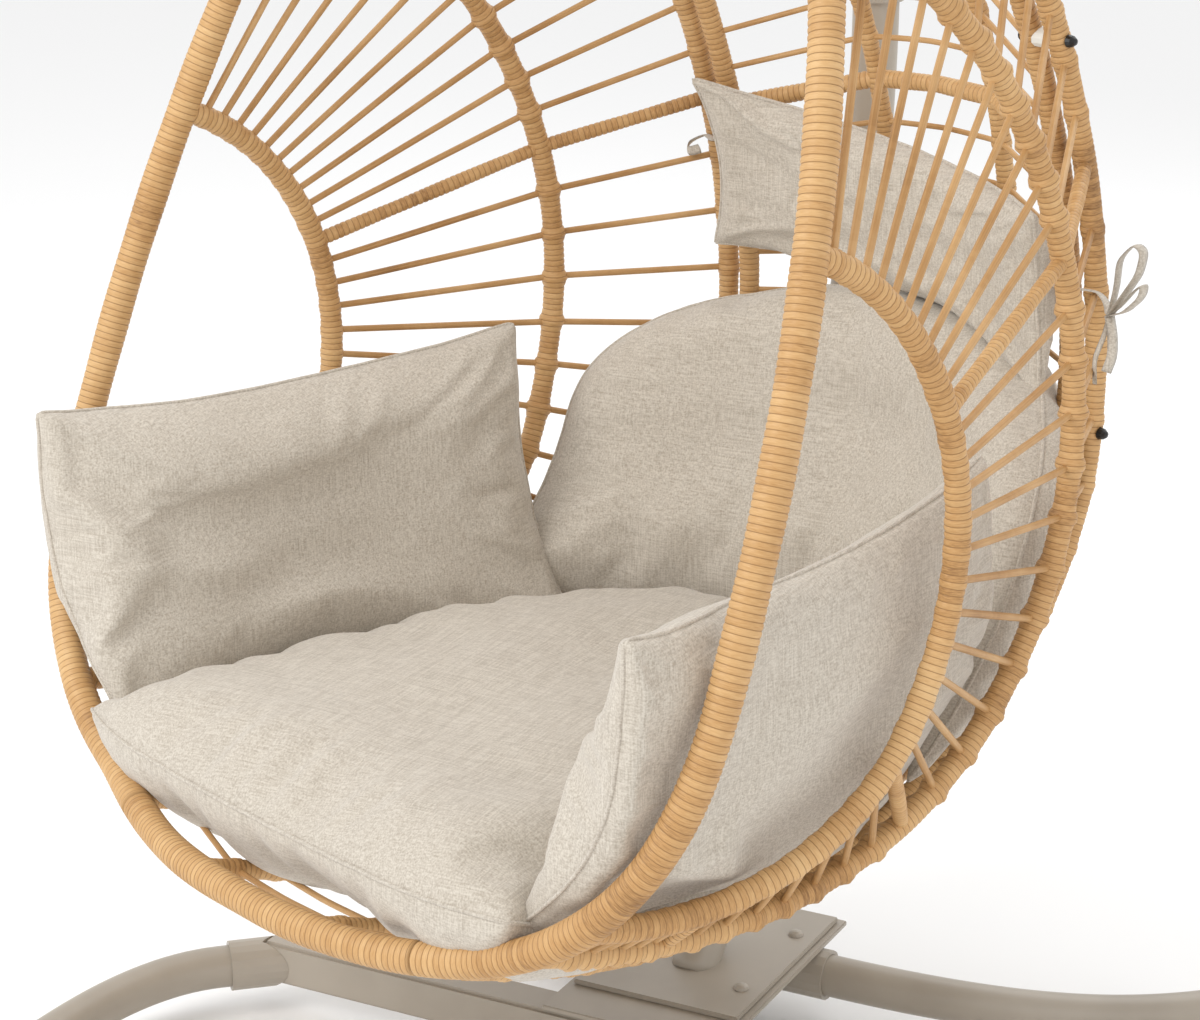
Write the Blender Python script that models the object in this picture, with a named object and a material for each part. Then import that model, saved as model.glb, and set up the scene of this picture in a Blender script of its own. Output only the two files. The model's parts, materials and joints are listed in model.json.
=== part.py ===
"""Hanging egg chair: a wicker basket on a swivel and spring, hung from a curved steel stand."""

import math

import bmesh
import bpy
from mathutils import Matrix, Vector

# ---- Driving dimensions, in metres and degrees -------------------------------------
GAP = 0.0003                 # clearance between pieces that touch

# stand
HALF_DEPTH = 0.616           # from the origin to the front toes, and to the back of the pole
STAND_HEIGHT = 2.00          # to the top of the pole
HOOK_Y = -0.055              # the hanging axis, in front of the origin
POLE_RADIUS = 0.027
POLE_FOOT_Y = 0.130
POLE_FOOT_LEAN_DEG = 42.0    # from vertical, where the pole leaves its plate
POLE_JOINT_Z = 1.15          # where the lower and the upper pole meet
POLE_TIP_Y = -0.105
COLLAR_WALL = 0.005
COLLAR_LENGTH = 0.060
LEG_RADIUS = 0.024
SOCKET_WALL = 0.005
SOCKET_LENGTH = 0.070
BEAM_HALF_SPAN = 0.475
BEAM_SIDE = 0.050
BEAM_Y = -0.015
PLATE_TOP_Z = 0.098
PLATE_THICKNESS = 0.006
FLANGE_WIDTH = 0.200
FLANGE_LENGTH = 0.280
FLANGE_CENTRE_Y = 0.160
PLATE_LIP = 0.008            # the base plate stands out this far round the flange
BOLT_SQUARE = 0.150
FLANGE_BOLT_RADIUS = 0.0045
FLANGE_BOLT_HEAD = 0.0090
REAR_TUBE_Y = 0.235
REAR_TUBE_HALF = 0.118
FRONT_TOE_X = 0.600
REAR_TOE_X = 0.520
REAR_TOE_Y = 0.400
FRONT_SOCKET_DEG = 222.0     # heading of the left front socket, from +X
FOOT_HEIGHT = 0.008
FOOT_RADIUS = 0.020

# hanging set
HANG_DROP = 0.060            # pole centre line to the hanging point
EYE_RADIUS = 0.016
EYE_WIRE = 0.005
LINK_WIRE = 0.004
LINK_RADIUS = 0.013
LINK_LENGTH = 0.058
SPRING_RADIUS = 0.021
SPRING_WIRE = 0.004
SPRING_TURNS = 6
SPRING_PITCH = 0.0094
SWIVEL_RADIUS = 0.014
SWIVEL_HEIGHT = 0.036

# basket, from the hanging axis and from the middle of the lowest rim tube
REST_YAW_DEG = -21.0
RIM_BOTTOM_Z = 0.390
RIM_LEAN_DEG = 19.5
RIM_LENGTH = 1.335           # lowest to highest point of the rim, along its lean
RIM_RADIUS = 0.016
RIM_HALF_WIDTH = 0.491
RIM_WIDEST_U = 0.35
RIM_LOWER_POWER = 2.5
RIM_UPPER_POWER = 2.0
RIM_SWEEP = 0.04             # how far the lowest part of the rim comes forward
RIM_SWEEP_U = 0.05
RIM_JOINT_X = 0.227
RIM_JOINT_STUB = 0.012       # straight length on each side of the rim's joints
SHELL_DEPTH = 0.780
SHELL_START_U = -0.02
SHELL_DEEPEST_U = 0.55
SHELL_LOWER_POWER = 1.9
SHELL_UPPER_POWER = 1.65
PLAN_POWER = 2.25
FRAME_RADIUS = 0.0115
MID_TUBE_RADIUS = 0.0095
STRUT_RADIUS = 0.0075
STRAND_RADIUS = 0.0038
ARCH_CENTRE_U = 0.407
ARCH_HALF_RISE = 0.300
ARCH_DEPTH = 0.287
BOW_CENTRE_U = 0.470
BOW_UPPER_RISE = 0.510
BOW_LOWER_RISE = 0.405
BOW_DEPTH = 0.525
EDGE_X = 0.270
BACK_X = 0.236
MID_X = 0.085
SUN_U = 0.440                # the side strands and struts point at this place on the rim line
STRUT_DEG = (38.0, -28.5, -66.5)
STRANDS_BETWEEN = (10, 11, 7, 6)
STRAND_TOP_DEG = 84.0
STRAND_LOW_DEG = -82.0
BACK_STRAND_PITCH = 0.050
RAIL_U = 0.92
PANEL_BOLT_U = (0.98, 0.62, 0.26)
PANEL_BOLT_RADIUS = 0.003
PANEL_NUT_RADIUS = 0.0065
SADDLE_RADIUS = 0.010

# cushions
CUSHION_CLEARANCE = 0.042    # from the middle of the basket's wall
CUSHION_GAP = 0.0012
SEAT_TOP_Z = 0.475
BACK_TOP_Z = 0.835
HEADREST_ROLL_DEG = 8.0


# ---- Scene, materials and helpers --------------------------------------------------
def clear_scene():
    for obj in list(bpy.data.objects):
        bpy.data.objects.remove(obj, do_unlink=True)


def new_collection(name, helper=False):
    collection = bpy.data.collections.new(name)
    bpy.context.scene.collection.children.link(collection)
    collection.hide_render = helper
    return collection


def make_material(name, colour, roughness, metallic=0.0):
    material = bpy.data.materials.new(name)
    material.use_nodes = True
    shader = material.node_tree.nodes["Principled BSDF"]
    shader.inputs["Base Color"].default_value = (*colour, 1.0)
    shader.inputs["Roughness"].default_value = roughness
    shader.inputs["Metallic"].default_value = metallic
    material.diffuse_color = (*colour, 1.0)
    return material


clear_scene()
PARTS = new_collection("hanging_egg_chair")
CUTTERS = new_collection("cutters", helper=True)
STEEL = make_material("powder_coated_steel", (0.34, 0.30, 0.25), 0.45)
WICKER = make_material("honey_wicker", (0.62, 0.41, 0.20), 0.55)
LINEN = make_material("woven_linen", (0.58, 0.53, 0.46), 0.9)
ZINC = make_material("zinc_plated_steel", (0.6, 0.6, 0.6), 0.3, 1.0)
BLACK = make_material("black_nylon", (0.01, 0.01, 0.01), 0.35)
MILKY = make_material("milky_nylon", (0.70, 0.68, 0.62), 0.4)
RUBBER = make_material("grey_rubber", (0.10, 0.10, 0.10), 0.8)


def add_object(name, bm, material=None, parent=None, smooth_deg=35):
    """Make an object of a bmesh. One without a material is a helper that only cuts."""
    mesh = bpy.data.meshes.new(name)
    bm.to_mesh(mesh)
    bm.free()
    mesh.shade_smooth()
    mesh.set_sharp_from_angle(angle=math.radians(smooth_deg))
    obj = bpy.data.objects.new(name, mesh)
    obj.parent = parent
    if material:
        PARTS.objects.link(obj)
        mesh.materials.append(material)
    else:
        CUTTERS.objects.link(obj)
        obj.hide_render = True
        obj.display_type = "WIRE"
    return obj


def merged(parts):
    """Put several bmeshes into one, still as separate shells."""
    result = bmesh.new()
    for part in parts:
        mesh = bpy.data.meshes.new("merge")
        part.to_mesh(mesh)
        part.free()
        result.from_mesh(mesh)
        bpy.data.meshes.remove(mesh)
    return result


def tube(points, radius, sides=10, closed=False):
    """A round bar through the points, with its ends capped."""
    curve = bpy.data.curves.new("path", "CURVE")
    curve.dimensions = "3D"
    curve.bevel_depth = radius
    curve.bevel_resolution = (sides - 4) // 2
    curve.use_fill_caps = not closed
    spline = curve.splines.new("POLY")
    spline.points.add(len(points) - 1)
    for spline_point, point in zip(spline.points, points):
        spline_point.co = (*point, 1.0)
    spline.use_cyclic_u = closed
    obj = bpy.data.objects.new("path", curve)
    bpy.context.scene.collection.objects.link(obj)
    graph = bpy.context.evaluated_depsgraph_get()
    mesh = bpy.data.meshes.new_from_object(obj.evaluated_get(graph))
    bm = bmesh.new()
    bm.from_mesh(mesh)
    bmesh.ops.remove_doubles(bm, verts=bm.verts, dist=1e-5)
    bmesh.ops.recalc_face_normals(bm, faces=bm.faces)
    bpy.data.objects.remove(obj)
    bpy.data.curves.remove(curve)
    bpy.data.meshes.remove(mesh)
    return bm


def box(size, centre, bevel=0.0):
    bm = bmesh.new()
    bmesh.ops.create_cube(bm, size=1.0)
    bmesh.ops.scale(bm, vec=size, verts=bm.verts)
    if bevel:
        bmesh.ops.bevel(bm, geom=bm.edges, offset=bevel, segments=2, affect="EDGES")
    bmesh.ops.translate(bm, vec=centre, verts=bm.verts)
    return bm


def cylinder(radius, start, end, sides=16, end_radius=None):
    """A cylinder, or a cone, from one point to another."""
    start, end = Vector(start), Vector(end)
    bm = bmesh.new()
    top = radius if end_radius is None else end_radius
    bmesh.ops.create_cone(bm, cap_ends=True, segments=sides, radius1=radius,
                          radius2=top, depth=(end - start).length)
    turn = (end - start).to_track_quat("Z", "Y").to_matrix().to_4x4()
    bm.transform(Matrix.Translation((start + end) / 2) @ turn)
    return bm


def dome(radius, height, base, axis, sides=12):
    """Half an ellipsoid that stands on a base point and points along an axis."""
    bm = bmesh.new()
    bmesh.ops.create_uvsphere(bm, u_segments=sides, v_segments=6, radius=1.0)
    below = [v for v in bm.verts if v.co.z < -1e-6]
    bmesh.ops.delete(bm, geom=below, context="VERTS")
    rim = [e for e in bm.edges if e.is_boundary]
    bmesh.ops.contextual_create(bm, geom=rim)
    bmesh.ops.scale(bm, vec=(radius, radius, height), verts=bm.verts)
    turn = Vector(axis).to_track_quat("Z", "Y").to_matrix().to_4x4()
    bm.transform(Matrix.Translation(base) @ turn)
    bmesh.ops.recalc_face_normals(bm, faces=bm.faces)
    return bm


def boolean(obj, cutter, operation="DIFFERENCE", self_overlap=False):
    modifier = obj.modifiers.new(operation.lower(), "BOOLEAN")
    modifier.operation = operation
    modifier.object = cutter
    modifier.use_self = self_overlap


def bezier(start, start_handle, end_handle, end, count):
    points = []
    for step in range(count + 1):
        t = step / count
        s = 1 - t
        points.append(s**3 * start + 3 * s * s * t * start_handle
                      + 3 * s * t * t * end_handle + t**3 * end)
    return points


def mirrored(points):
    return [Vector((-p.x, p.y, p.z)) for p in points]


# ---- Stand -------------------------------------------------------------------------
flange_bottom = PLATE_TOP_Z - PLATE_THICKNESS
plate_top = flange_bottom - GAP
plate_bottom = plate_top - PLATE_THICKNESS
beam_top = plate_bottom - GAP
socket_radius = LEG_RADIUS + SOCKET_WALL
socket_z = beam_top - socket_radius
flange_front = FLANGE_CENTRE_Y - FLANGE_LENGTH / 2
flange_back = FLANGE_CENTRE_Y + FLANGE_LENGTH / 2
beam_front = BEAM_Y - BEAM_SIDE / 2
toe_z = FOOT_HEIGHT + LEG_RADIUS
pole_back_y = HALF_DEPTH - POLE_RADIUS - COLLAR_WALL
pole_top_z = STAND_HEIGHT - POLE_RADIUS
bolt_spots = [(x * BOLT_SQUARE / 2, FLANGE_CENTRE_Y + y * BOLT_SQUARE / 2)
              for x in (-1, 1) for y in (-1, 1)]


def pole_points():
    """The lower and the upper half of the pole, which meet where it leans back farthest."""
    lean = math.radians(POLE_FOOT_LEAN_DEG)
    foot = Vector((0, POLE_FOOT_Y, PLATE_TOP_Z))
    joint = Vector((0, pole_back_y, POLE_JOINT_Z))
    tip = Vector((0, POLE_TIP_Y, pole_top_z))
    straight = Vector((0, 0, COLLAR_LENGTH / 2))
    level = Vector((0, COLLAR_LENGTH / 2, 0))
    lower = bezier(foot, foot + 0.42 * Vector((0, math.sin(lean), math.cos(lean))),
                   joint - Vector((0, 0, 0.40)), joint - straight, 16)
    upper = bezier(joint + straight, joint + Vector((0, 0, 0.40)),
                   tip + Vector((0, 0.42, 0)), tip + level, 18)
    return lower + [joint], [joint] + upper + [tip]


def build_pole():
    lower, upper = pole_points()
    # The foot runs on below the plate's top, and is cut off square to the plate.
    stub = [lower[0] - (lower[1] - lower[0]).normalized() * 0.05] + lower
    stub[-1] = stub[-1] - Vector((0, 0, GAP))
    lower_pole = add_object("lower_pole", tube(stub, POLE_RADIUS, 16), STEEL)
    floor_block = add_object("pole_foot_cutter",
                             box((0.4, 0.5, 0.2), (0, POLE_FOOT_Y, PLATE_TOP_Z + GAP - 0.1)))
    boolean(lower_pole, floor_block)
    upper_pole = add_object("upper_pole", tube(upper, POLE_RADIUS, 16), STEEL)
    joint = upper[0]
    half = Vector((0, 0, COLLAR_LENGTH / 2))
    collar = add_object("pole_collar", cylinder(POLE_RADIUS + COLLAR_WALL, joint - half,
                                                joint + half, 20), STEEL)
    bore = add_object("collar_bore", tube(lower[-4:] + upper[1:4], POLE_RADIUS + GAP * 2, 16))
    boolean(collar, bore)
    cap = add_object("pole_end_cap",
                     dome(POLE_RADIUS, 0.012, upper[-1] - Vector((0, GAP, 0)), (0, -1, 0), 20),
                     BLACK)
    return lower_pole, upper_pole, cap


def build_hook_eye():
    """A bent bar under the pole that the top link hangs in."""
    hang_z = pole_top_z - HANG_DROP
    centre_z = hang_z + EYE_RADIUS
    arc = [Vector((math.cos(a) * EYE_RADIUS, HOOK_Y, centre_z + math.sin(a) * EYE_RADIUS))
           for a in (math.pi + math.pi * k / 10 for k in range(11))]
    top = Vector((0, 0, pole_top_z - centre_z))
    eye = add_object("hook_eye", tube([arc[0] + top] + arc + [arc[-1] + top], EYE_WIRE, 10),
                     ZINC)
    around_pole = add_object("eye_pole_cutter",
                             tube(pole_points()[1][10:], POLE_RADIUS + GAP, 16))
    boolean(eye, around_pole)
    return hang_z


def build_base():
    beam_z = beam_top - BEAM_SIDE / 2
    beam = add_object("cross_beam", box((2 * BEAM_HALF_SPAN, BEAM_SIDE, BEAM_SIDE),
                                        (0, BEAM_Y, beam_z), 0.004), STEEL)
    plate_front = beam_front
    plate_back = flange_back + PLATE_LIP
    base_plate = add_object(
        "base_plate",
        box((FLANGE_WIDTH + 2 * PLATE_LIP, plate_back - plate_front, PLATE_THICKNESS),
            (0, (plate_back + plate_front) / 2, plate_top - PLATE_THICKNESS / 2), 0.001), STEEL)
    flange = add_object(
        "flange_plate",
        box((FLANGE_WIDTH, FLANGE_LENGTH, PLATE_THICKNESS),
            (0, FLANGE_CENTRE_Y, flange_bottom + PLATE_THICKNESS / 2), 0.001), STEEL)
    drill = merged([cylinder(FLANGE_BOLT_RADIUS + GAP, (x, y, plate_bottom - 0.02),
                             (x, y, PLATE_TOP_Z + 0.02), 12) for x, y in bolt_spots])
    drills = add_object("flange_drills", drill)
    boolean(flange, drills)
    boolean(base_plate, drills)
    for number, (x, y) in enumerate(bolt_spots, start=1):
        shank = cylinder(FLANGE_BOLT_RADIUS, (x, y, plate_bottom + 0.001),
                         (x, y, PLATE_TOP_Z + 0.002), 12)
        head = dome(FLANGE_BOLT_HEAD, 0.006, (x, y, PLATE_TOP_Z + GAP), (0, 0, 1))
        bolt = add_object(f"flange_bolt_{number}", head, STEEL)
        boolean(bolt, add_object(f"flange_bolt_shank_{number}", shank), "UNION")
    rear_tube = add_object("rear_tube", tube(
        [Vector((-REAR_TUBE_HALF, REAR_TUBE_Y, socket_z)),
         Vector((REAR_TUBE_HALF, REAR_TUBE_Y, socket_z))], socket_radius, 16), STEEL)
    return beam, rear_tube


def bore_socket(socket, mouth, heading, depth):
    """Bore a socket from its mouth inwards, to take the end of a leg."""
    axis = Vector((math.cos(heading), math.sin(heading), 0))
    bore = cylinder(LEG_RADIUS + 2 * GAP, mouth - axis * depth, mouth + axis * 0.02, 20)
    boolean(socket, add_object(socket.name + "_bore", bore))


def build_legs(beam, rear_tube):
    depth = 0.045
    for side, word in ((-1, "left"), (1, "right")):
        heading = math.radians(FRONT_SOCKET_DEG)
        if side > 0:
            heading = math.pi - heading
        axis = Vector((math.cos(heading), math.sin(heading), 0))
        root = Vector((side * (BEAM_HALF_SPAN - 0.02), BEAM_Y, socket_z))
        mouth = root + axis * SOCKET_LENGTH
        socket = add_object(f"front_socket_{word}",
                            cylinder(socket_radius, root, mouth, 20), STEEL)
        around_beam = box((2 * BEAM_HALF_SPAN + 2 * GAP, BEAM_SIDE + 2 * GAP, 0.2),
                          (0, BEAM_Y, beam_top - BEAM_SIDE / 2))
        boolean(socket, add_object(f"beam_cutter_{word}", around_beam))
        bore_socket(socket, mouth, heading, depth - 0.02)
        start = mouth - axis * (depth - 0.02 - GAP)
        toe = Vector((side * FRONT_TOE_X, -HALF_DEPTH, toe_z))
        bend = mouth + axis * 0.012
        points = [start] + bezier(bend, bend + axis * 0.15, toe + Vector((0, 0.20, 0)), toe, 12)
        build_leg(f"front_leg_{word}", points, toe + Vector((0, 0.045, 0)))

        heading = 0.0 if side > 0 else math.pi
        axis = Vector((side, 0, 0))
        mouth = Vector((side * REAR_TUBE_HALF, REAR_TUBE_Y, socket_z))
        bore_socket(rear_tube, mouth, heading, depth)
        start = mouth - axis * (depth - GAP)
        toe = Vector((side * REAR_TOE_X, REAR_TOE_Y, toe_z))
        run = Vector((side * 0.10, 0.09, 0))
        bend = mouth + axis * 0.012
        points = [start] + bezier(bend, bend + axis * 0.19, toe - run, toe, 12)
        build_leg(f"rear_leg_{word}", points, toe - run.normalized() * 0.045)


def build_leg(name, points, foot_spot):
    add_object(name, tube(points, LEG_RADIUS, 14), STEEL)
    foot = add_object(name.replace("leg", "foot"),
                      cylinder(FOOT_RADIUS, (foot_spot.x, foot_spot.y, 0),
                               (foot_spot.x, foot_spot.y, toe_z), 20), RUBBER)
    cutter = add_object(name + "_seat", tube(points[-5:], LEG_RADIUS + GAP, 14))
    boolean(foot, cutter)


# ---- Basket shape, along the rim's lean (u) and square to it, backwards (v) ----------
LEAN_SIN = math.sin(math.radians(RIM_LEAN_DEG))
LEAN_COS = math.cos(math.radians(RIM_LEAN_DEG))


def place(x, u, v):
    """A point in the basket's frame: the hanging axis is X = Y = 0, and Z is from the floor."""
    y = (u - RIM_LENGTH) * LEAN_SIN + v * LEAN_COS
    return Vector((x, y, RIM_BOTTOM_Z + u * LEAN_COS - v * LEAN_SIN))


def half_width(u):
    """Half the rim's width at a height along it."""
    if u < RIM_WIDEST_U:
        drop = 1 - max(u, 0.0) / RIM_WIDEST_U
        return RIM_HALF_WIDTH * (1 - drop**RIM_LOWER_POWER) ** (1 / RIM_LOWER_POWER)
    climb = min(1.0, (u - RIM_WIDEST_U) / (RIM_LENGTH - RIM_WIDEST_U))
    return RIM_HALF_WIDTH * (1 - climb**RIM_UPPER_POWER) ** (1 / RIM_UPPER_POWER)


def rim_v(u):
    return -RIM_SWEEP * max(0.0, 1 - u / RIM_SWEEP_U) ** 2


def depth(u):
    """How far the basket reaches back from the rim's plane."""
    if u < SHELL_DEEPEST_U:
        drop = 1 - (max(u, 0.0) - SHELL_START_U) / (SHELL_DEEPEST_U - SHELL_START_U)
        return SHELL_DEPTH * (1 - drop**SHELL_LOWER_POWER) ** (1 / SHELL_LOWER_POWER)
    climb = min(1.0, (u - SHELL_DEEPEST_U) / (RIM_LENGTH - SHELL_DEEPEST_U))
    return SHELL_DEPTH * (1 - climb**SHELL_UPPER_POWER) ** (1 / SHELL_UPPER_POWER)


def shell_x(u, v, inset=0.0):
    """Half the basket's width at a place in its side view."""
    width = half_width(u) - inset
    deep = depth(u) - inset
    if width <= 0 or deep <= 0:
        return 0.0
    share = max(0.0, v) / deep
    if share >= 1:
        return 0.0
    return width * (1 - share**PLAN_POWER) ** (1 / PLAN_POWER)


def slice_reach(x, angle):
    """Distance from the sun point to the shell, at a fixed X, along an angle in side view."""
    near, far = 0.0, 1.2
    for _ in range(40):
        middle = (near + far) / 2
        u = SUN_U + middle * math.sin(angle)
        v = middle * math.cos(angle)
        if 0 < u < RIM_LENGTH and shell_x(u, v) > x:
            near = middle
        else:
            far = middle
    return near


def slice_point(x, angle):
    reach = slice_reach(abs(x), angle)
    u = SUN_U + reach * math.sin(angle)
    v = reach * math.cos(angle)
    return place(x, u, max(v, 0.0) + rim_v(u))


def slice_points(x, count):
    """The shell's section at a fixed X, from the top of the rim round to its bottom."""
    dense = [slice_point(x, math.pi / 2 - math.pi * k / 400) for k in range(401)]
    return evenly(dense, count)


def evenly(points, count):
    """The same path with points at equal distances."""
    lengths = [0.0]
    for first, second in zip(points, points[1:]):
        lengths.append(lengths[-1] + (second - first).length)
    result, index = [], 0
    for step in range(count + 1):
        target = lengths[-1] * step / count
        while index < len(points) - 2 and lengths[index + 1] < target:
            index += 1
        span = lengths[index + 1] - lengths[index]
        share = (target - lengths[index]) / span if span else 0.0
        result.append(points[index].lerp(points[index + 1], min(1.0, share)))
    return result


def oval_reach(angle, centre_u, upper, lower, reach_v):
    """Distance from the sun point to an arch, along an angle in side view."""
    near, far = 0.0, 1.2
    for _ in range(40):
        middle = (near + far) / 2
        along = SUN_U + middle * math.sin(angle) - centre_u
        rise = upper if along > 0 else lower
        inside = (along / rise) ** 2 + (middle * math.cos(angle) / reach_v) ** 2 < 1
        near, far = (middle, far) if inside else (near, middle)
    return near


def oval_point(side, angle, *oval):
    reach = oval_reach(angle, *oval)
    u = SUN_U + reach * math.sin(angle)
    v = max(0.0, reach * math.cos(angle))
    return place(side * shell_x(u, v), u, v + rim_v(u))


def oval_points(side, count, *oval):
    dense = [oval_point(side, math.pi / 2 - math.pi * k / 300, *oval) for k in range(301)]
    return evenly(dense, count)


ARCH = (ARCH_CENTRE_U, ARCH_HALF_RISE, ARCH_HALF_RISE, ARCH_DEPTH)
BOW = (BOW_CENTRE_U, BOW_UPPER_RISE, BOW_LOWER_RISE, BOW_DEPTH)


def rim_points():
    """The whole rim loop, from its lowest point up the right side and back."""
    half = []
    for k in range(201):
        turn = math.pi / 2 * k / 200
        u = RIM_WIDEST_U * (1 - math.cos(turn) ** (2 / RIM_LOWER_POWER))
        x = RIM_HALF_WIDTH * math.sin(turn) ** (2 / RIM_LOWER_POWER)
        half.append(place(x, u, rim_v(u)))
    for k in range(1, 201):
        turn = math.pi / 2 * (1 - k / 200)
        u = RIM_WIDEST_U + (RIM_LENGTH - RIM_WIDEST_U) * math.cos(turn) ** (2 / RIM_UPPER_POWER)
        x = RIM_HALF_WIDTH * math.sin(turn) ** (2 / RIM_UPPER_POWER)
        half.append(place(x, u, rim_v(u)))
    return half + mirrored(half[-2:0:-1])


def split_rim(loop):
    """The sill is the short lowest piece. The hoop is the rest."""
    count = len(loop)
    last = next(k for k in range(count) if loop[k].x > RIM_JOINT_X)
    right = loop[: last + 1]
    share = (RIM_JOINT_X - right[-2].x) / (right[-1].x - right[-2].x)
    joint = right[-2].lerp(right[-1], share)
    along = (right[-1] - right[-2]).normalized()
    stub = along * RIM_JOINT_STUB
    slit = along * GAP / 2
    low = [p for p in right if p.x < joint.x - stub.x] + [joint - stub]
    high = [joint + stub] + [p for p in loop[last:count // 2 + 1]
                             if p.z > (joint + stub).z or p.x > (joint + stub).x]
    sill = evenly(mirrored(low[:0:-1]) + low, 12)
    hoop = evenly(high + mirrored(high[-2::-1]), 72)
    sill_end, hoop_end = [joint - slit], [joint + slit]
    return (mirrored(sill_end) + sill + sill_end, hoop_end + hoop + mirrored(hoop_end))


def profile_points(x, count):
    """The section half way between the two bolted tubes, moved sideways to X."""
    middle = (EDGE_X + BACK_X) / 2
    dense = slice_points(middle, 300)[2:-2]
    return [Vector((x, p.y, p.z)) for p in evenly(dense, count)]


def profile_at(u_wanted):
    """The place on that section at a height along the rim's lean."""
    middle = (EDGE_X + BACK_X) / 2
    near, far = -math.pi / 2, math.pi / 2
    for _ in range(40):
        angle = (near + far) / 2
        low = SUN_U + slice_reach(middle, angle) * math.sin(angle) < u_wanted
        near, far = (angle, far) if low else (near, angle)
    return slice_point(middle, near)


# ---- Basket ------------------------------------------------------------------------
def strand_angles():
    struts = [math.radians(a) for a in STRUT_DEG]
    top, low = math.radians(STRAND_TOP_DEG), math.radians(STRAND_LOW_DEG)
    first, second, third, fourth = STRANDS_BETWEEN
    angles = [top + (struts[0] - top) * k / first for k in range(first)]
    angles += [struts[0] + (struts[1] - struts[0]) * k / (second + 1)
               for k in range(1, second + 1)]
    angles += [struts[1] + (struts[2] - struts[1]) * k / (third + 1)
               for k in range(1, third + 1)]
    angles += [struts[2] + (low - struts[2]) * k / fourth for k in range(1, fourth + 1)]
    return angles, struts


def side_bar(side, angle):
    """The path of a side strand: inner arch, outer bow, edge tube."""
    edge = slice_point((EDGE_X + BACK_X) / 2, angle)
    edge.x = side * EDGE_X
    return [oval_point(side, angle, *ARCH), oval_point(side, angle, *BOW), edge]


def build_basket(yaw):
    loop = rim_points()
    sill_points, hoop_points = split_rim(loop)
    hoop = add_object("rim_hoop", tube(hoop_points, RIM_RADIUS, 8), WICKER, yaw, 60)
    sill = add_object("rim_sill", tube(sill_points, RIM_RADIUS, 8), WICKER, yaw, 60)
    around_rim = add_object(
        "rim_cutter", tube(evenly(loop + loop[:1], 96)[:-1], RIM_RADIUS + 3 * GAP, 8, True),
        parent=yaw)
    bolts = [profile_at(u) for u in PANEL_BOLT_U]
    for side, word in ((-1, "left"), (1, "right")):
        drill = merged([cylinder(PANEL_BOLT_RADIUS + GAP, (side * (BACK_X - 0.05), p.y, p.z),
                                 (side * (EDGE_X + 0.05), p.y, p.z), 8) for p in bolts])
        drills = add_object(f"panel_drills_{word}", drill, parent=yaw)
        arch_points = oval_points(side, 24, *ARCH)
        arch = add_object(f"inner_arch_{word}", tube(arch_points, FRAME_RADIUS, 8), WICKER,
                          yaw, 60)
        boolean(arch, around_rim)
        edge_points = profile_points(side * EDGE_X, 32)
        back_points = profile_points(side * BACK_X, 32)
        edge = add_object(f"edge_tube_{word}", tube(edge_points, FRAME_RADIUS, 6), WICKER,
                          yaw, 60)
        back = add_object(f"back_tube_{word}", tube(back_points, FRAME_RADIUS, 6), WICKER,
                          yaw, 60)
        for piece in (edge, back):
            boolean(piece, around_rim)
            boolean(piece, drills)
        around_frame = merged([tube(arch_points, FRAME_RADIUS + GAP, 8),
                               tube(edge_points, FRAME_RADIUS + GAP, 6)])
        frame_cutter = add_object(f"frame_cutter_{word}", around_frame, parent=yaw)
        angles, struts = strand_angles()
        bars = [tube(oval_points(side, 32, *BOW), FRAME_RADIUS, 8)]
        bars += [tube(side_bar(side, a), STRUT_RADIUS, 6) for a in struts]
        bars += [tube(side_bar(side, a), STRAND_RADIUS, 4) for a in angles]
        panel = add_object(f"strand_panel_{word}", merged(bars), WICKER, yaw, 60)
        boolean(panel, frame_cutter, self_overlap=True)
        boolean(panel, around_rim)
        build_panel_bolts(side, word, bolts, yaw, edge_points, back_points, drills)
    build_back_panel(yaw, around_rim)
    return hoop


def build_panel_bolts(side, word, bolts, yaw, edge_points, back_points, drills):
    """Bolts that hold each side panel to the back panel, with a saddle between the tubes."""
    around_tubes = merged([tube(edge_points, FRAME_RADIUS + GAP, 6),
                           tube(back_points, FRAME_RADIUS + GAP, 6)])
    tube_cutter = add_object(f"saddle_cutter_{word}", around_tubes, parent=yaw)
    inner = BACK_X - FRAME_RADIUS - GAP
    outer = EDGE_X + FRAME_RADIUS + GAP
    for number, p in enumerate(bolts, start=1):
        along = (side, 0, 0)
        bolt = add_object(f"panel_bolt_{word}_{number}",
                          cylinder(PANEL_BOLT_RADIUS, (side * (inner - 0.002), p.y, p.z),
                                   (side * (outer + 0.003), p.y, p.z), 8), BLACK, yaw)
        head = dome(PANEL_NUT_RADIUS, 0.004, Vector((side * inner, p.y, p.z)),
                    (-side, 0, 0), 12)
        nut = dome(PANEL_NUT_RADIUS, 0.010, Vector((side * outer, p.y, p.z)), along, 12)
        ends = add_object(f"panel_bolt_ends_{word}_{number}", merged([head, nut]), parent=yaw)
        boolean(bolt, ends, "UNION")
        saddle = add_object(f"saddle_{word}_{number}",
                            cylinder(SADDLE_RADIUS, (side * BACK_X, p.y, p.z),
                                     (side * EDGE_X, p.y, p.z), 12), MILKY, yaw)
        boolean(saddle, tube_cutter)
        boolean(saddle, drills)


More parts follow.
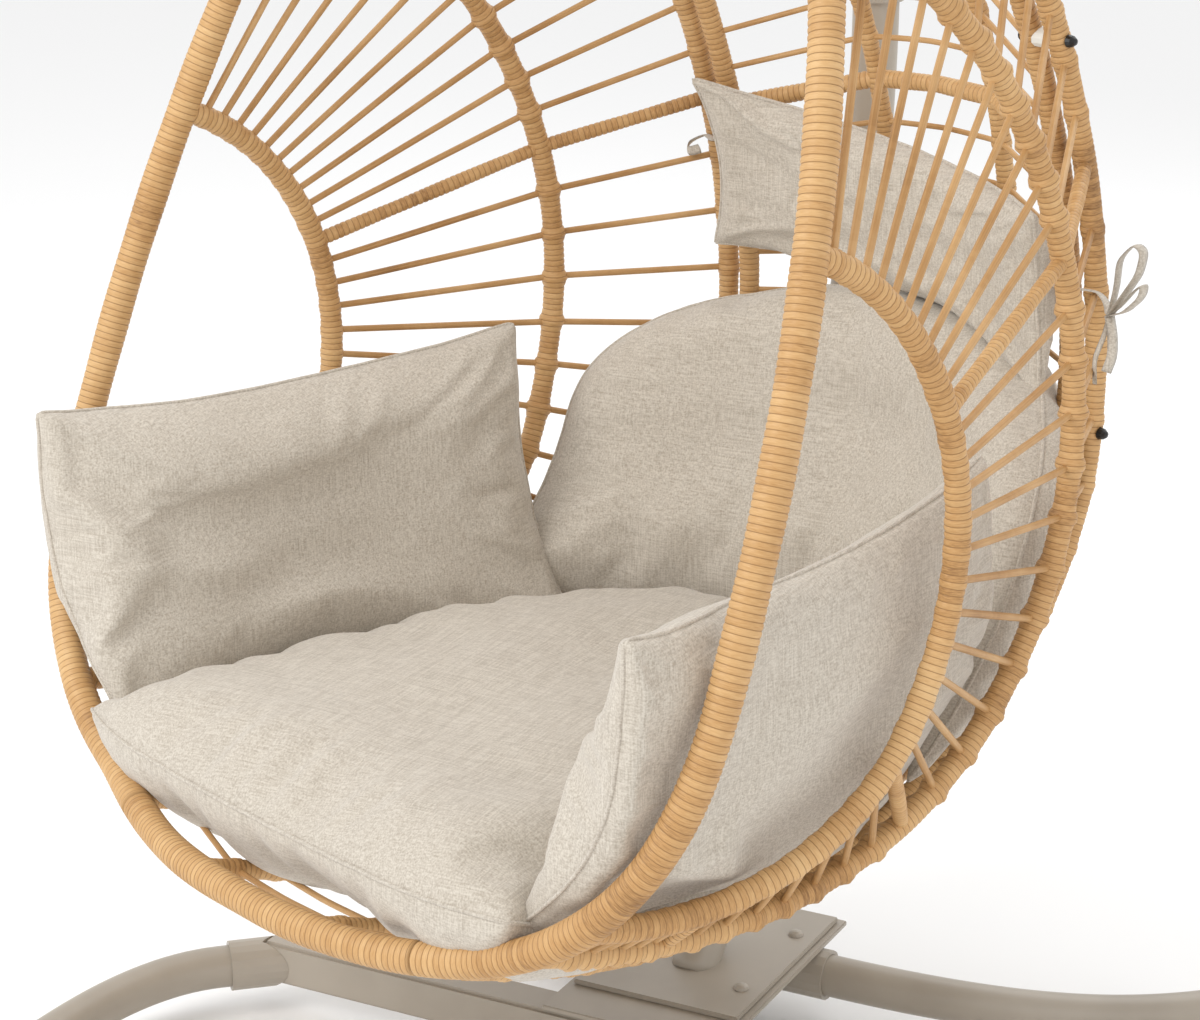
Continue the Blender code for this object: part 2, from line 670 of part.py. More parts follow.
def build_back_panel(yaw, around_rim):
    """The middle tubes, the rail and the thin level strands, fixed together."""
    middle = slice_points(MID_X, 28)
    edge = profile_points(BACK_X, 32)
    length = sum((b - a).length for a, b in zip(middle, middle[1:]))
    count = int(length / BACK_STRAND_PITCH)
    bars = [tube([Vector((s * p.x, p.y, p.z)) for p in middle], MID_TUBE_RADIUS, 6)
            for s in (-1, 1)]
    along_middle = evenly(middle, count)
    along_edge = evenly(edge, count)
    centre = evenly(slice_points(0.0, 80), count)
    rail_z = place(0, RAIL_U, depth(RAIL_U)).z
    rail = min(range(1, count), key=lambda k: abs(centre[k].z - rail_z)
               if centre[k].z > RIM_BOTTOM_Z + 0.3 else 9.0)
    for k in range(1, count):
        half = [centre[k], along_middle[k], along_edge[k]]
        path = mirrored(half[:0:-1]) + half
        radius = MID_TUBE_RADIUS if k == rail else STRAND_RADIUS * 0.8
        bars.append(tube(path, radius, 6 if k == rail else 4))
    panel = add_object("back_panel", merged(bars), WICKER, yaw, 60)
    around = merged([tube(profile_points(s * BACK_X, 32), FRAME_RADIUS + GAP, 6)
                     for s in (-1, 1)])
    boolean(panel, add_object("back_cutter", around, parent=yaw), self_overlap=True)
    boolean(panel, around_rim)


# ---- Hanging set -------------------------------------------------------------------
def ring_points(centre, radius, plane, stretch=0.0, sides=16):
    """A ring, or a stretched link, that stands in the XZ or the YZ plane."""
    points = []
    for k in range(sides):
        a = 2 * math.pi * k / sides + math.pi / sides
        across = radius * math.cos(a)
        up = radius * math.sin(a) + math.copysign(stretch / 2, math.sin(a))
        flat = Vector((across, 0, up)) if plane == "XZ" else Vector((0, across, up))
        points.append(Vector(centre) + flat)
    return points


def build_hanging_set(hang_z, yaw, hoop):
    """Link, swivel and spring, from the pole's eye down to the basket's eye."""
    contact = math.cos(math.pi / 16)       # a ring of 16 sides is this much flatter
    link_top = hang_z + EYE_WIRE + LINK_WIRE + GAP
    link_centre = link_top - LINK_RADIUS * contact - (LINK_LENGTH / 2 - LINK_RADIUS)
    stretch = LINK_LENGTH - 2 * LINK_RADIUS
    link = add_object("top_link", tube(ring_points((0, HOOK_Y, link_centre), LINK_RADIUS, "YZ",
                                                   stretch), LINK_WIRE, 8, True), ZINC)
    link_low = link_centre - stretch / 2 - LINK_RADIUS * contact

    ring = 0.009
    wire = 0.0035
    upper_centre = link_low + LINK_WIRE + wire + GAP - ring * contact
    upper_loop = tube(ring_points((0, HOOK_Y, upper_centre), ring, "XZ"), wire, 8, True)
    body_top = upper_centre - ring
    half = SWIVEL_HEIGHT / 2
    upper = add_object("swivel_upper",
                       cylinder(SWIVEL_RADIUS * 0.75, (0, HOOK_Y, body_top - half + GAP),
                                (0, HOOK_Y, body_top), 20, SWIVEL_RADIUS * 0.5), ZINC)
    boolean(upper, add_object("swivel_upper_loop", upper_loop), "UNION")
    lower = add_object("swivel_lower",
                       cylinder(SWIVEL_RADIUS, (0, 0, body_top - 2 * half),
                                (0, 0, body_top - half), 20), ZINC, yaw)
    lower_centre = body_top - 2 * half - ring + wire
    boolean(lower, add_object("swivel_lower_loop",
                              tube(ring_points((0, 0, lower_centre), ring, "XZ"), wire, 8,
                                   True), parent=yaw), "UNION")

    loop = 0.010
    top_centre = lower_centre - ring * contact + wire + SPRING_WIRE + GAP - loop
    coil_top = top_centre - loop - SPRING_WIRE
    coil_length = SPRING_TURNS * SPRING_PITCH
    points = [Vector((0, loop * math.cos(a), top_centre + loop * math.sin(a)))
              for a in (math.radians(-60 + 30 * k) for k in range(11))]
    steps = SPRING_TURNS * 10
    for k in range(steps + 1):
        turn = 2 * math.pi * k / 10
        grow = min(1.0, k / 8, (steps - k) / 8)
        radius = SPRING_RADIUS * (0.25 + 0.75 * grow)
        points.append(Vector((radius * math.sin(turn), radius * -math.cos(turn),
                              coil_top - coil_length * k / steps)))
    low_centre = coil_top - coil_length - SPRING_WIRE - loop
    points += [Vector((0, loop * math.cos(a), low_centre + loop * math.sin(a)))
               for a in (math.radians(120 + 30 * k) for k in range(11))]
    spring = add_object("spring", tube(points, SPRING_WIRE * 0.9, 6), ZINC, yaw)

    eye_top = low_centre - loop + SPRING_WIRE + EYE_WIRE + GAP
    eye_centre = eye_top - EYE_RADIUS
    arc = [Vector((EYE_RADIUS * math.cos(a), 0, eye_centre + EYE_RADIUS * math.sin(a)))
           for a in (math.pi * k / 10 for k in range(11))]
    apex = place(0, RIM_LENGTH, 0)
    legs = Vector((0, 0, eye_centre - apex.z))
    path = [arc[0] - legs] + arc + [arc[-1] - legs]
    eye = add_object("basket_eye", tube(path, EYE_WIRE, 8), ZINC, yaw)
    rim_top = [p for p in evenly(rim_points(), 120) if p.z > apex.z - 0.02]
    boolean(eye, add_object("eye_rim_cutter", tube(rim_top, RIM_RADIUS + 3 * GAP, 10),
                            parent=yaw))
    return link_low, lower_centre, coil_top, coil_length


# ---- Cushions ----------------------------------------------------------------------
def inside_shell(point, inset):
    across = point.y + RIM_LENGTH * LEAN_SIN
    rise = point.z - RIM_BOTTOM_Z
    u = across * LEAN_SIN + rise * LEAN_COS
    v = across * LEAN_COS - rise * LEAN_SIN
    x = abs(point.x)
    if not inset < u < RIM_LENGTH - inset:
        return False
    return (x < shell_x(u - inset, v) and x < shell_x(u + inset, v)
            and x < shell_x(u, v + inset) and x + inset < shell_x(u, v))


def pad(name, centre, half, tilt_deg, turn_deg, power, planes, yaw, roll_deg=0.0):
    """A soft block with rounded sides, kept inside the basket and on its side of planes."""
    centre = Vector(centre)
    turn = (Matrix.Rotation(math.radians(turn_deg), 3, "Z")
            @ Matrix.Rotation(math.radians(roll_deg), 3, "Y")
            @ Matrix.Rotation(math.radians(tilt_deg), 3, "X"))
    bm = bmesh.new()
    bmesh.ops.create_cube(bm, size=2.0)
    bmesh.ops.subdivide_edges(bm, edges=bm.edges, cuts=5, use_grid_fill=True)
    for vert in bm.verts:
        co = vert.co
        scale = sum(abs(c) ** power for c in co) ** (-1 / power)
        reach = turn @ Vector((co.x * half[0], co.y * half[1], co.z * half[2])) * scale
        near, far = 0.0, 1.0
        for _ in range(24):
            middle = (near + far) / 2
            point = centre + reach * middle
            fits = inside_shell(point, CUSHION_CLEARANCE) and all(
                (point - Vector(spot)).dot(Vector(normal)) > 0 for spot, normal in planes)
            near, far = (middle, far) if fits else (near, middle)
        vert.co = centre + reach * near
    return add_object(name, bm, LINEN, yaw, 60)


def build_cushions(yaw):
    """Seat, two wings, back and headrest, each on its own side of the planes between them."""
    def facing(spot, normal):
        """Two sides of a plane, each clear of it by half the gap between cushions."""
        normal = Vector(normal).normalized()
        half_gap = normal * CUSHION_GAP / 2
        return (Vector(spot) + half_gap, normal), (Vector(spot) - half_gap, -normal)

    above_seat, below = facing((0, 0, SEAT_TOP_Z), (0, 0.04, 1))
    behind_mouth = (place(0, 0, 0), place(0, 0, 1) - place(0, 0, 0))
    above_back, below_head = facing((0, 0, BACK_TOP_Z), (0.08, 0.10, 1))
    pad("seat_cushion", (0, -0.06, SEAT_TOP_Z - 0.05), (0.50, 0.46, 0.14), 0, 0, 4,
        [below, behind_mouth], yaw)
    walls = []
    for side, word in ((-1, "left"), (1, "right")):
        wing_side, back_side = facing((side * 0.30, 0.17, 0), (side * 0.50, -0.86, 0))
        walls.append(back_side)
        pad(f"{word}_wing", (side * 0.34, -0.12, 0.63), (0.12, 0.33, 0.17), 0, 0, 4,
            [above_seat, wing_side, behind_mouth], yaw)
    pad("back_cushion", (0, 0.30, 0.64), (0.36, 0.09, 0.24), -12, 0, 4,
        [above_seat, below_head] + walls, yaw)
    pad("headrest_pillow", (0, 0.37, 0.925), (0.26, 0.055, 0.095), 8, 0, 4,
        [above_back], yaw, HEADREST_ROLL_DEG)


# ---- Assembly ----------------------------------------------------------------------
def main():
    build_pole()
    hang_z = build_hook_eye()
    beam, rear_tube = build_base()
    build_legs(beam, rear_tube)
    yaw = bpy.data.objects.new("basket_axis", None)
    yaw.location = (0, HOOK_Y, 0)
    yaw.rotation_euler = (0, 0, math.radians(REST_YAW_DEG))
    PARTS.objects.link(yaw)
    hoop = build_basket(yaw)
    build_hanging_set(hang_z, yaw, hoop)
    build_cushions(yaw)


main()
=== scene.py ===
"""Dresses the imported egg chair: wrapped rattan basket, linen cushions and coated steel stand."""

import json
import logging
import math
from collections.abc import Callable, Sequence
from dataclasses import dataclass
from enum import Enum

import bmesh
import bpy
import numpy as np
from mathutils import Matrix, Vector, noise

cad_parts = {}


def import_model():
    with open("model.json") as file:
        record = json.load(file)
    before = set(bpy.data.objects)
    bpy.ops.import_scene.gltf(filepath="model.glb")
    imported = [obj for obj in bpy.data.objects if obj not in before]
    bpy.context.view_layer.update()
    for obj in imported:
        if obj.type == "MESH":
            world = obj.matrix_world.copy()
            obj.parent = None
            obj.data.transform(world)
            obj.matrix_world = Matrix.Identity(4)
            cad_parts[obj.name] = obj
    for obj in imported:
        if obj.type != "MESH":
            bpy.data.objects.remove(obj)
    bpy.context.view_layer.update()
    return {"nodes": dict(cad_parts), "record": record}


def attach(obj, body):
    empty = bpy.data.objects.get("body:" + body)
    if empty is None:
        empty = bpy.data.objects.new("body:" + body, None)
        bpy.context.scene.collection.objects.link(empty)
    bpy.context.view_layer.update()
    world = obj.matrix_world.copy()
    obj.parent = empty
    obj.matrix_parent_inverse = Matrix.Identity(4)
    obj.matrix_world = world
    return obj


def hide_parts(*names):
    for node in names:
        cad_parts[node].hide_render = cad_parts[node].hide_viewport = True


LOG = logging.getLogger("egg_chair")
Path = Sequence[Vector]


class Side(Enum):
    """The two sides of the basket, by the sign of X in its own frame."""

    LEFT = -1
    RIGHT = 1

    @property
    def word(self) -> str:
        """The side's name as the frame's nodes write it."""
        return self.name.lower()


# ---- Colour and node helpers ---------------------------------------------------------
def linear(hex_colour: str) -> tuple[float, float, float, float]:
    """Turn an sRGB hex colour into linear RGBA.

    Args:
        hex_colour: Six hex digits with a leading hash.

    Returns:
        Linear red, green, blue and an alpha of one.
    """
    parts = [int(hex_colour[i:i + 2], 16) / 255 for i in (1, 3, 5)]
    r, g, b = (p / 12.92 if p <= 0.04045 else ((p + 0.055) / 1.055) ** 2.4 for p in parts)
    return r, g, b, 1.0


def add_node(tree: bpy.types.NodeTree, kind: str, settings: dict | None = None,
             inputs: dict | None = None,
             stops: Sequence[tuple[float, str]] = ()) -> bpy.types.Node:
    """Add one node to a tree.

    Args:
        tree: The material's node tree.
        kind: The node's type name without its ShaderNode prefix.
        settings: Node properties by name.
        inputs: Sockets by name or number, each given a value or another node's output.
        stops: A ramp's places from 0 to 1, each with its sRGB hex colour.

    Returns:
        The new node.
    """
    node = tree.nodes.new("ShaderNode" + kind)
    for name, value in (settings or {}).items():
        setattr(node, name, value)
    for name, value in (inputs or {}).items():
        if isinstance(value, bpy.types.NodeSocket):
            tree.links.new(value, node.inputs[name])
        else:
            node.inputs[name].default_value = value
    elements = node.color_ramp.elements if stops else ()
    while len(elements) < len(stops):
        elements.new(0.5)
    for element, (place, colour) in zip(elements, stops):
        element.position = place
        element.color = linear(colour)
    return node


# ---- Finishes ------------------------------------------------------------------------
@dataclass(frozen=True)
class Finish:
    """A surface finish that builds its own material."""

    name: str
    roughness: float
    metallic: float = 0.0

    def build(self) -> bpy.types.Material:
        """Make the material with its shader and let the finish dress it."""
        material = bpy.data.materials.new(self.name)
        material.use_nodes = True
        tree = material.node_tree
        shader = tree.nodes["Principled BSDF"]
        shader.inputs["Roughness"].default_value = self.roughness
        shader.inputs["Metallic"].default_value = self.metallic
        self.dress(tree, shader)
        return material

    def dress(self, tree: bpy.types.NodeTree, shader: bpy.types.Node) -> None:
        """Link colour and bump to the shader. Each finish has its own."""


@dataclass(frozen=True)
class SyntheticRattan(Finish):
    """Extruded polyethylene rattan, wrapped round tube or laid straight.

    The eye gets a satin strand with a fine grain along it, a slightly different tan on each
    turn, and painted shade: a darker line where two turns meet, as if shadowed between them.
    """

    pitch_mm: float = 6.5
    wrapped: bool = True
    light: str = "#CFA875"
    middle: str = "#B98E5B"
    dark: str = "#6E4A28"
    bright: str = "#E0C292"
    # painted shade: the darker colour laid where two turns meet
    groove: str = "#8F6A40"

    def dress(self, tree: bpy.types.NodeTree, shader: bpy.types.Node) -> None:
        """Tint each turn, draw its long grain, sink the dip between turns and paint shade in it.

        Args:
            tree: The material's node tree.
            shader: The material's Principled shader.
        """
        uv = add_node(tree, "UVMap")
        axes = add_node(tree, "SeparateXYZ", inputs={0: uv.outputs["UV"]})
        turns = add_node(tree, "Math", {"operation": "MULTIPLY"},
                         {0: axes.outputs["X"], 1: 1000 / self.pitch_mm})
        number = add_node(tree, "Math", {"operation": "FLOOR"}, {0: turns.outputs[0]})
        tint = add_node(tree, "TexWhiteNoise", {"noise_dimensions": "1D"},
                        {"W": number.outputs[0]})
        place = add_node(tree, "NewGeometry").outputs["Position"]
        broad = add_node(tree, "TexNoise", inputs={"Vector": place, "Scale": 9.0, "Detail": 3.0})
        grain_axis = (30.0, 260.0) if self.wrapped else (14.0, 40.0)
        stretch = add_node(tree, "Mapping", inputs={
            "Vector": uv.outputs["UV"],
            "Scale": (grain_axis[1] * 4, grain_axis[0] * 0.3, 1.0) if self.wrapped
            else (grain_axis[0], grain_axis[1] * 0.3, 1.0)})
        grain = add_node(tree, "TexNoise", inputs={"Vector": stretch.outputs[0], "Scale": 1.0,
                                                   "Detail": 2.0})
        share = 0.18 if self.wrapped else 0.05
        mixed = add_node(tree, "Mix", {"data_type": "FLOAT"},
                         {"Factor": share, "A": broad.outputs[0], "B": tint.outputs[0]})
        toned = add_node(tree, "Mix", {"data_type": "FLOAT"},
                         {"Factor": 0.35, "A": mixed.outputs[0], "B": grain.outputs[0]})
        body = add_node(tree, "ValToRGB", inputs={"Fac": toned.outputs[0]}, stops=[
            (0.22, self.dark), (0.42, self.middle), (0.62, self.light),
            (0.9, self.bright)]).outputs["Color"]
        height = grain.outputs[0]
        if self.wrapped:
            share_of_turn = add_node(tree, "Math", {"operation": "FRACT"},
                                     {0: turns.outputs[0]})
            folded = add_node(tree, "Math", {"operation": "PINGPONG"},
                              {0: share_of_turn.outputs[0], 1: 0.5})
            groove = add_node(tree, "MapRange", inputs={
                "Value": folded.outputs[0], "From Min": 0.0, "From Max": 0.11,
                "To Min": 0.0, "To Max": 1.0})
            # painted shade: where two turns meet, the colour is darkened as if in shadow
            body = add_node(tree, "Mix", {"data_type": "RGBA"}, {
                0: groove.outputs[0], 6: linear(self.groove), 7: body}).outputs[2]
            height = add_node(tree, "Math", {"operation": "MULTIPLY_ADD"}, {
                0: grain.outputs[0], 1: 0.25, 2: groove.outputs[0]}).outputs[0]
        tree.links.new(body, shader.inputs["Base Color"])
        bump = add_node(tree, "Bump", inputs={"Height": height, "Strength": 0.5,
                                              "Distance": 0.0006})
        tree.links.new(bump.outputs[0], shader.inputs["Normal"])
        shader.inputs["Specular IOR Level"].default_value = 0.35


@dataclass(frozen=True)
class SlubLinen(Finish):
    """Plain-woven linen-look polyester.

    The eye gets a matt cloth with thicker slub threads both ways, and a soft edge of light
    where it turns away.
    """

    light: str = "#CAC2B5"
    dark: str = "#A89E90"
    thread_mm: float = 1.6      # real threads are 0.6 mm apart, drawn coarser so that they show

    def dress(self, tree: bpy.types.NodeTree, shader: bpy.types.Node) -> None:
        """Lay stretched noise along each axis, so that every face shows two thread directions.

        Args:
            tree: The material's node tree.
            shader: The material's Principled shader.
        """
        place = add_node(tree, "NewGeometry").outputs["Position"]
        fine = 1000 / self.thread_mm
        layers = []
        for scale in ((fine, fine, 18.0), (fine, 18.0, fine), (18.0, fine, fine)):
            stretch = add_node(tree, "Mapping", inputs={"Vector": place, "Scale": scale})
            layers.append(add_node(tree, "TexNoise", inputs={
                "Vector": stretch.outputs[0], "Scale": 1.0, "Detail": 1.5}).outputs[0])
        first = add_node(tree, "Math", {"operation": "ADD"}, {0: layers[0], 1: layers[1]})
        weave = add_node(tree, "Math", {"operation": "ADD"}, {0: first.outputs[0], 1: layers[2]})
        thirds = add_node(tree, "Math", {"operation": "DIVIDE"}, {0: weave.outputs[0], 1: 3.0})
        colour = add_node(tree, "ValToRGB", inputs={"Fac": thirds.outputs[0]},
                          stops=[(0.38, self.dark), (0.6, self.light)])
        tree.links.new(colour.outputs["Color"], shader.inputs["Base Color"])
        bump = add_node(tree, "Bump", inputs={"Height": thirds.outputs[0], "Strength": 0.5,
                                              "Distance": 0.0012})
        tree.links.new(bump.outputs[0], shader.inputs["Normal"])
        shader.inputs["Sheen Weight"].default_value = 0.25
        shader.inputs["Sheen Roughness"].default_value = 0.6
        shader.inputs["Specular IOR Level"].default_value = 0.2


@dataclass(frozen=True)
class PowderCoat(Finish):
    """Polyester powder, sprayed and baked on steel tube.

    The eye gets an even taupe with a satin shine and a very fine orange peel.
    """

    colour: str = "#A89E90"
    worn: str = "#9A9082"

    def dress(self, tree: bpy.types.NodeTree, shader: bpy.types.Node) -> None:
        """Mottle the colour faintly and add the peel.

        Args:
            tree: The material's node tree.
            shader: The material's Principled shader.
        """
        place = add_node(tree, "NewGeometry").outputs["Position"]
        broad = add_node(tree, "TexNoise", inputs={"Vector": place, "Scale": 6.0, "Detail": 4.0})
        colour = add_node(tree, "ValToRGB", inputs={"Fac": broad.outputs[0]},
                          stops=[(0.35, self.worn), (0.65, self.colour)])
        tree.links.new(colour.outputs["Color"], shader.inputs["Base Color"])
        peel = add_node(tree, "TexNoise", inputs={"Vector": place, "Scale": 700.0})
        bump = add_node(tree, "Bump", inputs={"Height": peel.outputs[0], "Strength": 0.12,
                                              "Distance": 0.0003})
        tree.links.new(bump.outputs[0], shader.inputs["Normal"])
        shader.inputs["Coat Weight"].default_value = 0.2
        shader.inputs["Coat Roughness"].default_value = 0.3


@dataclass(frozen=True)
class PlainFinish(Finish):
    """Moulded nylon, moulded rubber or zinc plating on steel.

    The eye gets one colour with a faint cloud in it and a fine grain.
    """

    colour: str = "#808080"
    cloud: str = "#707070"
    grain_mm: float = 0.8       # a moulding's real grain is finer, drawn coarser so it shows

    def dress(self, tree: bpy.types.NodeTree, shader: bpy.types.Node) -> None:
        """Cloud the colour and roughen the surface a little.

        Args:
            tree: The material's node tree.
            shader: The material's Principled shader.
        """
        place = add_node(tree, "NewGeometry").outputs["Position"]
        broad = add_node(tree, "TexNoise", inputs={"Vector": place, "Scale": 40.0, "Detail": 3.0})
        colour = add_node(tree, "ValToRGB", inputs={"Fac": broad.outputs[0]},
                          stops=[(0.35, self.cloud), (0.65, self.colour)])
        tree.links.new(colour.outputs["Color"], shader.inputs["Base Color"])
        grain = add_node(tree, "TexNoise", inputs={"Vector": place,
                                                   "Scale": 1000 / self.grain_mm})
        bump = add_node(tree, "Bump", inputs={"Height": grain.outputs[0], "Strength": 0.1,
                                              "Distance": 0.0003})
        tree.links.new(bump.outputs[0], shader.inputs["Normal"])


# Roughness and metallic start from typical values for each material.
FINISHES: dict[str, Finish] = {
    "honey_wicker": SyntheticRattan("wrapped_rattan", 0.5),
    "laid_strand": SyntheticRattan("laid_rattan_strand", 0.5, wrapped=False,
                                   light="#C69F6E", middle="#AD8250", dark="#744E2A"),
    "woven_linen": SlubLinen("slub_linen", 0.9),
    "powder_coated_steel": PowderCoat("taupe_powder_coat", 0.42),
    "zinc_steel": PlainFinish("zinc_plated_steel", 0.3, 1.0, "#B9B9B4", "#9C9C98"),
    "black_nylon": PlainFinish("black_moulded_nylon", 0.35, 0.0, "#161616", "#0E0E0E"),
    "milky_nylon": PlainFinish("milky_moulded_nylon", 0.45, 0.0, "#DEDCD4", "#CFCCC3"),
    "grey_rubber": PlainFinish("dark_rubber", 0.8, 0.0, "#2C2C2C", "#222222"),
}


# ---- Mesh helpers --------------------------------------------------------------------
def evenly(points: Path, step: float) -> np.ndarray:
    """Walk a path at equal distances.

    Args:
        points: The path.
        step: The distance wanted between points, in metres.

    Returns:
        An array of points, one row each.
    """
    line = np.array([tuple(p) for p in points])
    lengths = np.concatenate([[0.0], np.cumsum(np.linalg.norm(np.diff(line, axis=0), axis=1))])
    count = max(2, int(round(lengths[-1] / step)) + 1)
    wanted = np.linspace(0.0, lengths[-1], count)
    return np.stack([np.interp(wanted, lengths, line[:, k]) for k in range(3)], axis=1)


def smoothed(line: np.ndarray, passes: int) -> np.ndarray:
    """Round the corners of a path, leaving its ends where they are.

    Args:
        line: The path's points, which are changed in place.
        passes: How many times to average each point with its neighbours.

    Returns:
        The same points.
    """
    for _ in range(passes):
        line[1:-1] = 0.5 * line[1:-1] + 0.25 * (line[:-2] + line[2:])
    return line


@dataclass
class Swept:
    """A bar swept along a path, with UV X as metres along it and Y as turns round it."""

    path: Path
    radius: Callable[[np.ndarray, np.ndarray], np.ndarray]
    step: float = 0.004
    sides: int = 12
    smooth_passes: int = 0

    def mesh(self, name: str) -> bpy.types.Mesh:
        """Build the bar's closed mesh.

        Args:
            name: The mesh's name.

        Returns:
            The new mesh, smooth shaded, with its UV map.
        """
        line = smoothed(evenly(self.path, self.step), self.smooth_passes)
        along = np.concatenate([[0.0], np.cumsum(np.linalg.norm(np.diff(line, axis=0), axis=1))])
        tangent = np.gradient(line, axis=0)
        tangent /= np.linalg.norm(tangent, axis=1)[:, None]
        normal = np.zeros_like(line)
        start = np.cross(tangent[0], (0.0, 0.0, 1.0))
        if np.linalg.norm(start) < 0.2:
            start = np.cross(tangent[0], (0.0, 1.0, 0.0))
        normal[0] = start / np.linalg.norm(start)
        for k in range(1, len(line)):
            carried = normal[k - 1] - tangent[k] * normal[k - 1].dot(tangent[k])
            normal[k] = carried / np.linalg.norm(carried)
        other = np.cross(tangent, normal)
        angle = np.arange(self.sides) * 2 * math.pi / self.sides
        reach = self.radius(along[:, None], angle[None, :])
        reach = np.broadcast_to(reach, (len(line), self.sides))[:, :, None]
        ring = (np.cos(angle)[None, :, None] * normal[:, None]
                + np.sin(angle)[None, :, None] * other[:, None])
        points = (line[:, None] + reach * ring).reshape(-1, 3)
        rows, columns = np.meshgrid(np.arange(len(line) - 1), np.arange(self.sides),
                                    indexing="ij")
        after = (columns + 1) % self.sides
        quads = np.stack([rows * self.sides + columns, rows * self.sides + after,
                          (rows + 1) * self.sides + after,
                          (rows + 1) * self.sides + columns], axis=-1).reshape(-1, 4)
        last = (len(line) - 1) * self.sides
        caps = [list(range(self.sides))[::-1], list(range(last, last + self.sides))]
        mesh = bpy.data.meshes.new(name)
        mesh.from_pydata(points.tolist(), [], quads.tolist() + caps)
        u = np.stack([along[rows], along[rows], along[rows + 1], along[rows + 1]], axis=-1)
        turn = np.stack([columns, columns + 1, columns + 1, columns], axis=-1) / self.sides
        flat = np.stack([u.reshape(-1), turn.reshape(-1)], axis=-1)
        extra = np.concatenate([np.stack([np.full(self.sides, s), np.zeros(self.sides)], axis=-1)
                                for s in (0.0, along[-1])])
        layer = mesh.uv_layers.new(name="UVMap")
        layer.data.foreach_set("uv", np.concatenate([flat, extra]).reshape(-1))
        mesh.shade_smooth()
        return mesh


def plain(radius: float) -> Callable[[np.ndarray, np.ndarray], np.ndarray]:
    """The same radius all along a bar."""
    return lambda along, angle: radius + 0 * along + 0 * angle


def wrapped(radius: float, pitch: float, lumps: np.ndarray | None = None,
            lump: float = 0.0) -> Callable[[np.ndarray, np.ndarray], np.ndarray]:
    """Work out the surface of a tube wrapped in strand.

    Args:
        radius: The radius over the strand.
        pitch: The distance from one turn to the next.
        lumps: Distances along the tube where another strand is tied on.
        lump: How far each tie stands up.

    Returns:
        The radius at each distance along the tube and angle round it.
    """
    crown_height, rock_height, tie_spread = 0.0009, 0.00035, 0.0065

    def reach(along: np.ndarray, angle: np.ndarray) -> np.ndarray:
        share = np.mod(along / pitch, 1.0)
        crown = crown_height * (1 - np.abs(2 * share - 1) ** 4)
        rock = rock_height * np.sin(2.1 * angle + 6.0 * np.floor(along / pitch))
        result = radius - crown_height + crown + rock
        if lumps is not None and len(lumps):
            near = np.abs(along[..., None] - lumps).min(axis=-1)
            result = result + lump * np.exp(-((near / tie_spread) ** 2))
        return result
    return reach


class Pieces:
    """Makes the visual pieces, hangs each on its body, finishes it and hides the nodes it replaces.
    """

    def __init__(self) -> None:
        """Build every finish once."""
        self.materials = {slot: finish.build() for slot, finish in FINISHES.items()}

    def add(self, name: str, mesh: bpy.types.Mesh, body: str, slot: str,
            nodes: Sequence[str] = (), look: str | None = None) -> bpy.types.Object:
        """Add one piece.

        Args:
            name: The piece's name.
            mesh: Its mesh, in world coordinates.
            body: The moving body that it rides on.
            slot: The record's material slot.
            nodes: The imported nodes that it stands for.
            look: The finish to use when it isn't the slot's own.

        Returns:
            The new object.
        """
        piece = bpy.data.objects.new(name, mesh)
        bpy.context.scene.collection.objects.link(piece)
        mesh.materials.clear()
        mesh.materials.append(self.materials[look or slot])
        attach(piece, body)
        if nodes:
            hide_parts(*nodes)
        LOG.info("piece %s rides %s", name, body)
        return piece


def joined(name: str, meshes: Sequence[bpy.types.Mesh]) -> bpy.types.Mesh:
    """Put several meshes into one.

    Args:
        name: The new mesh's name.
        meshes: The meshes, which are removed.

    Returns:
        The joined mesh.
    """
    bm = bmesh.new()
    for mesh in meshes:
        bm.from_mesh(mesh)
        bpy.data.meshes.remove(mesh)
    result = bpy.data.meshes.new(name)
    bm.to_mesh(result)
    bm.free()
    return result


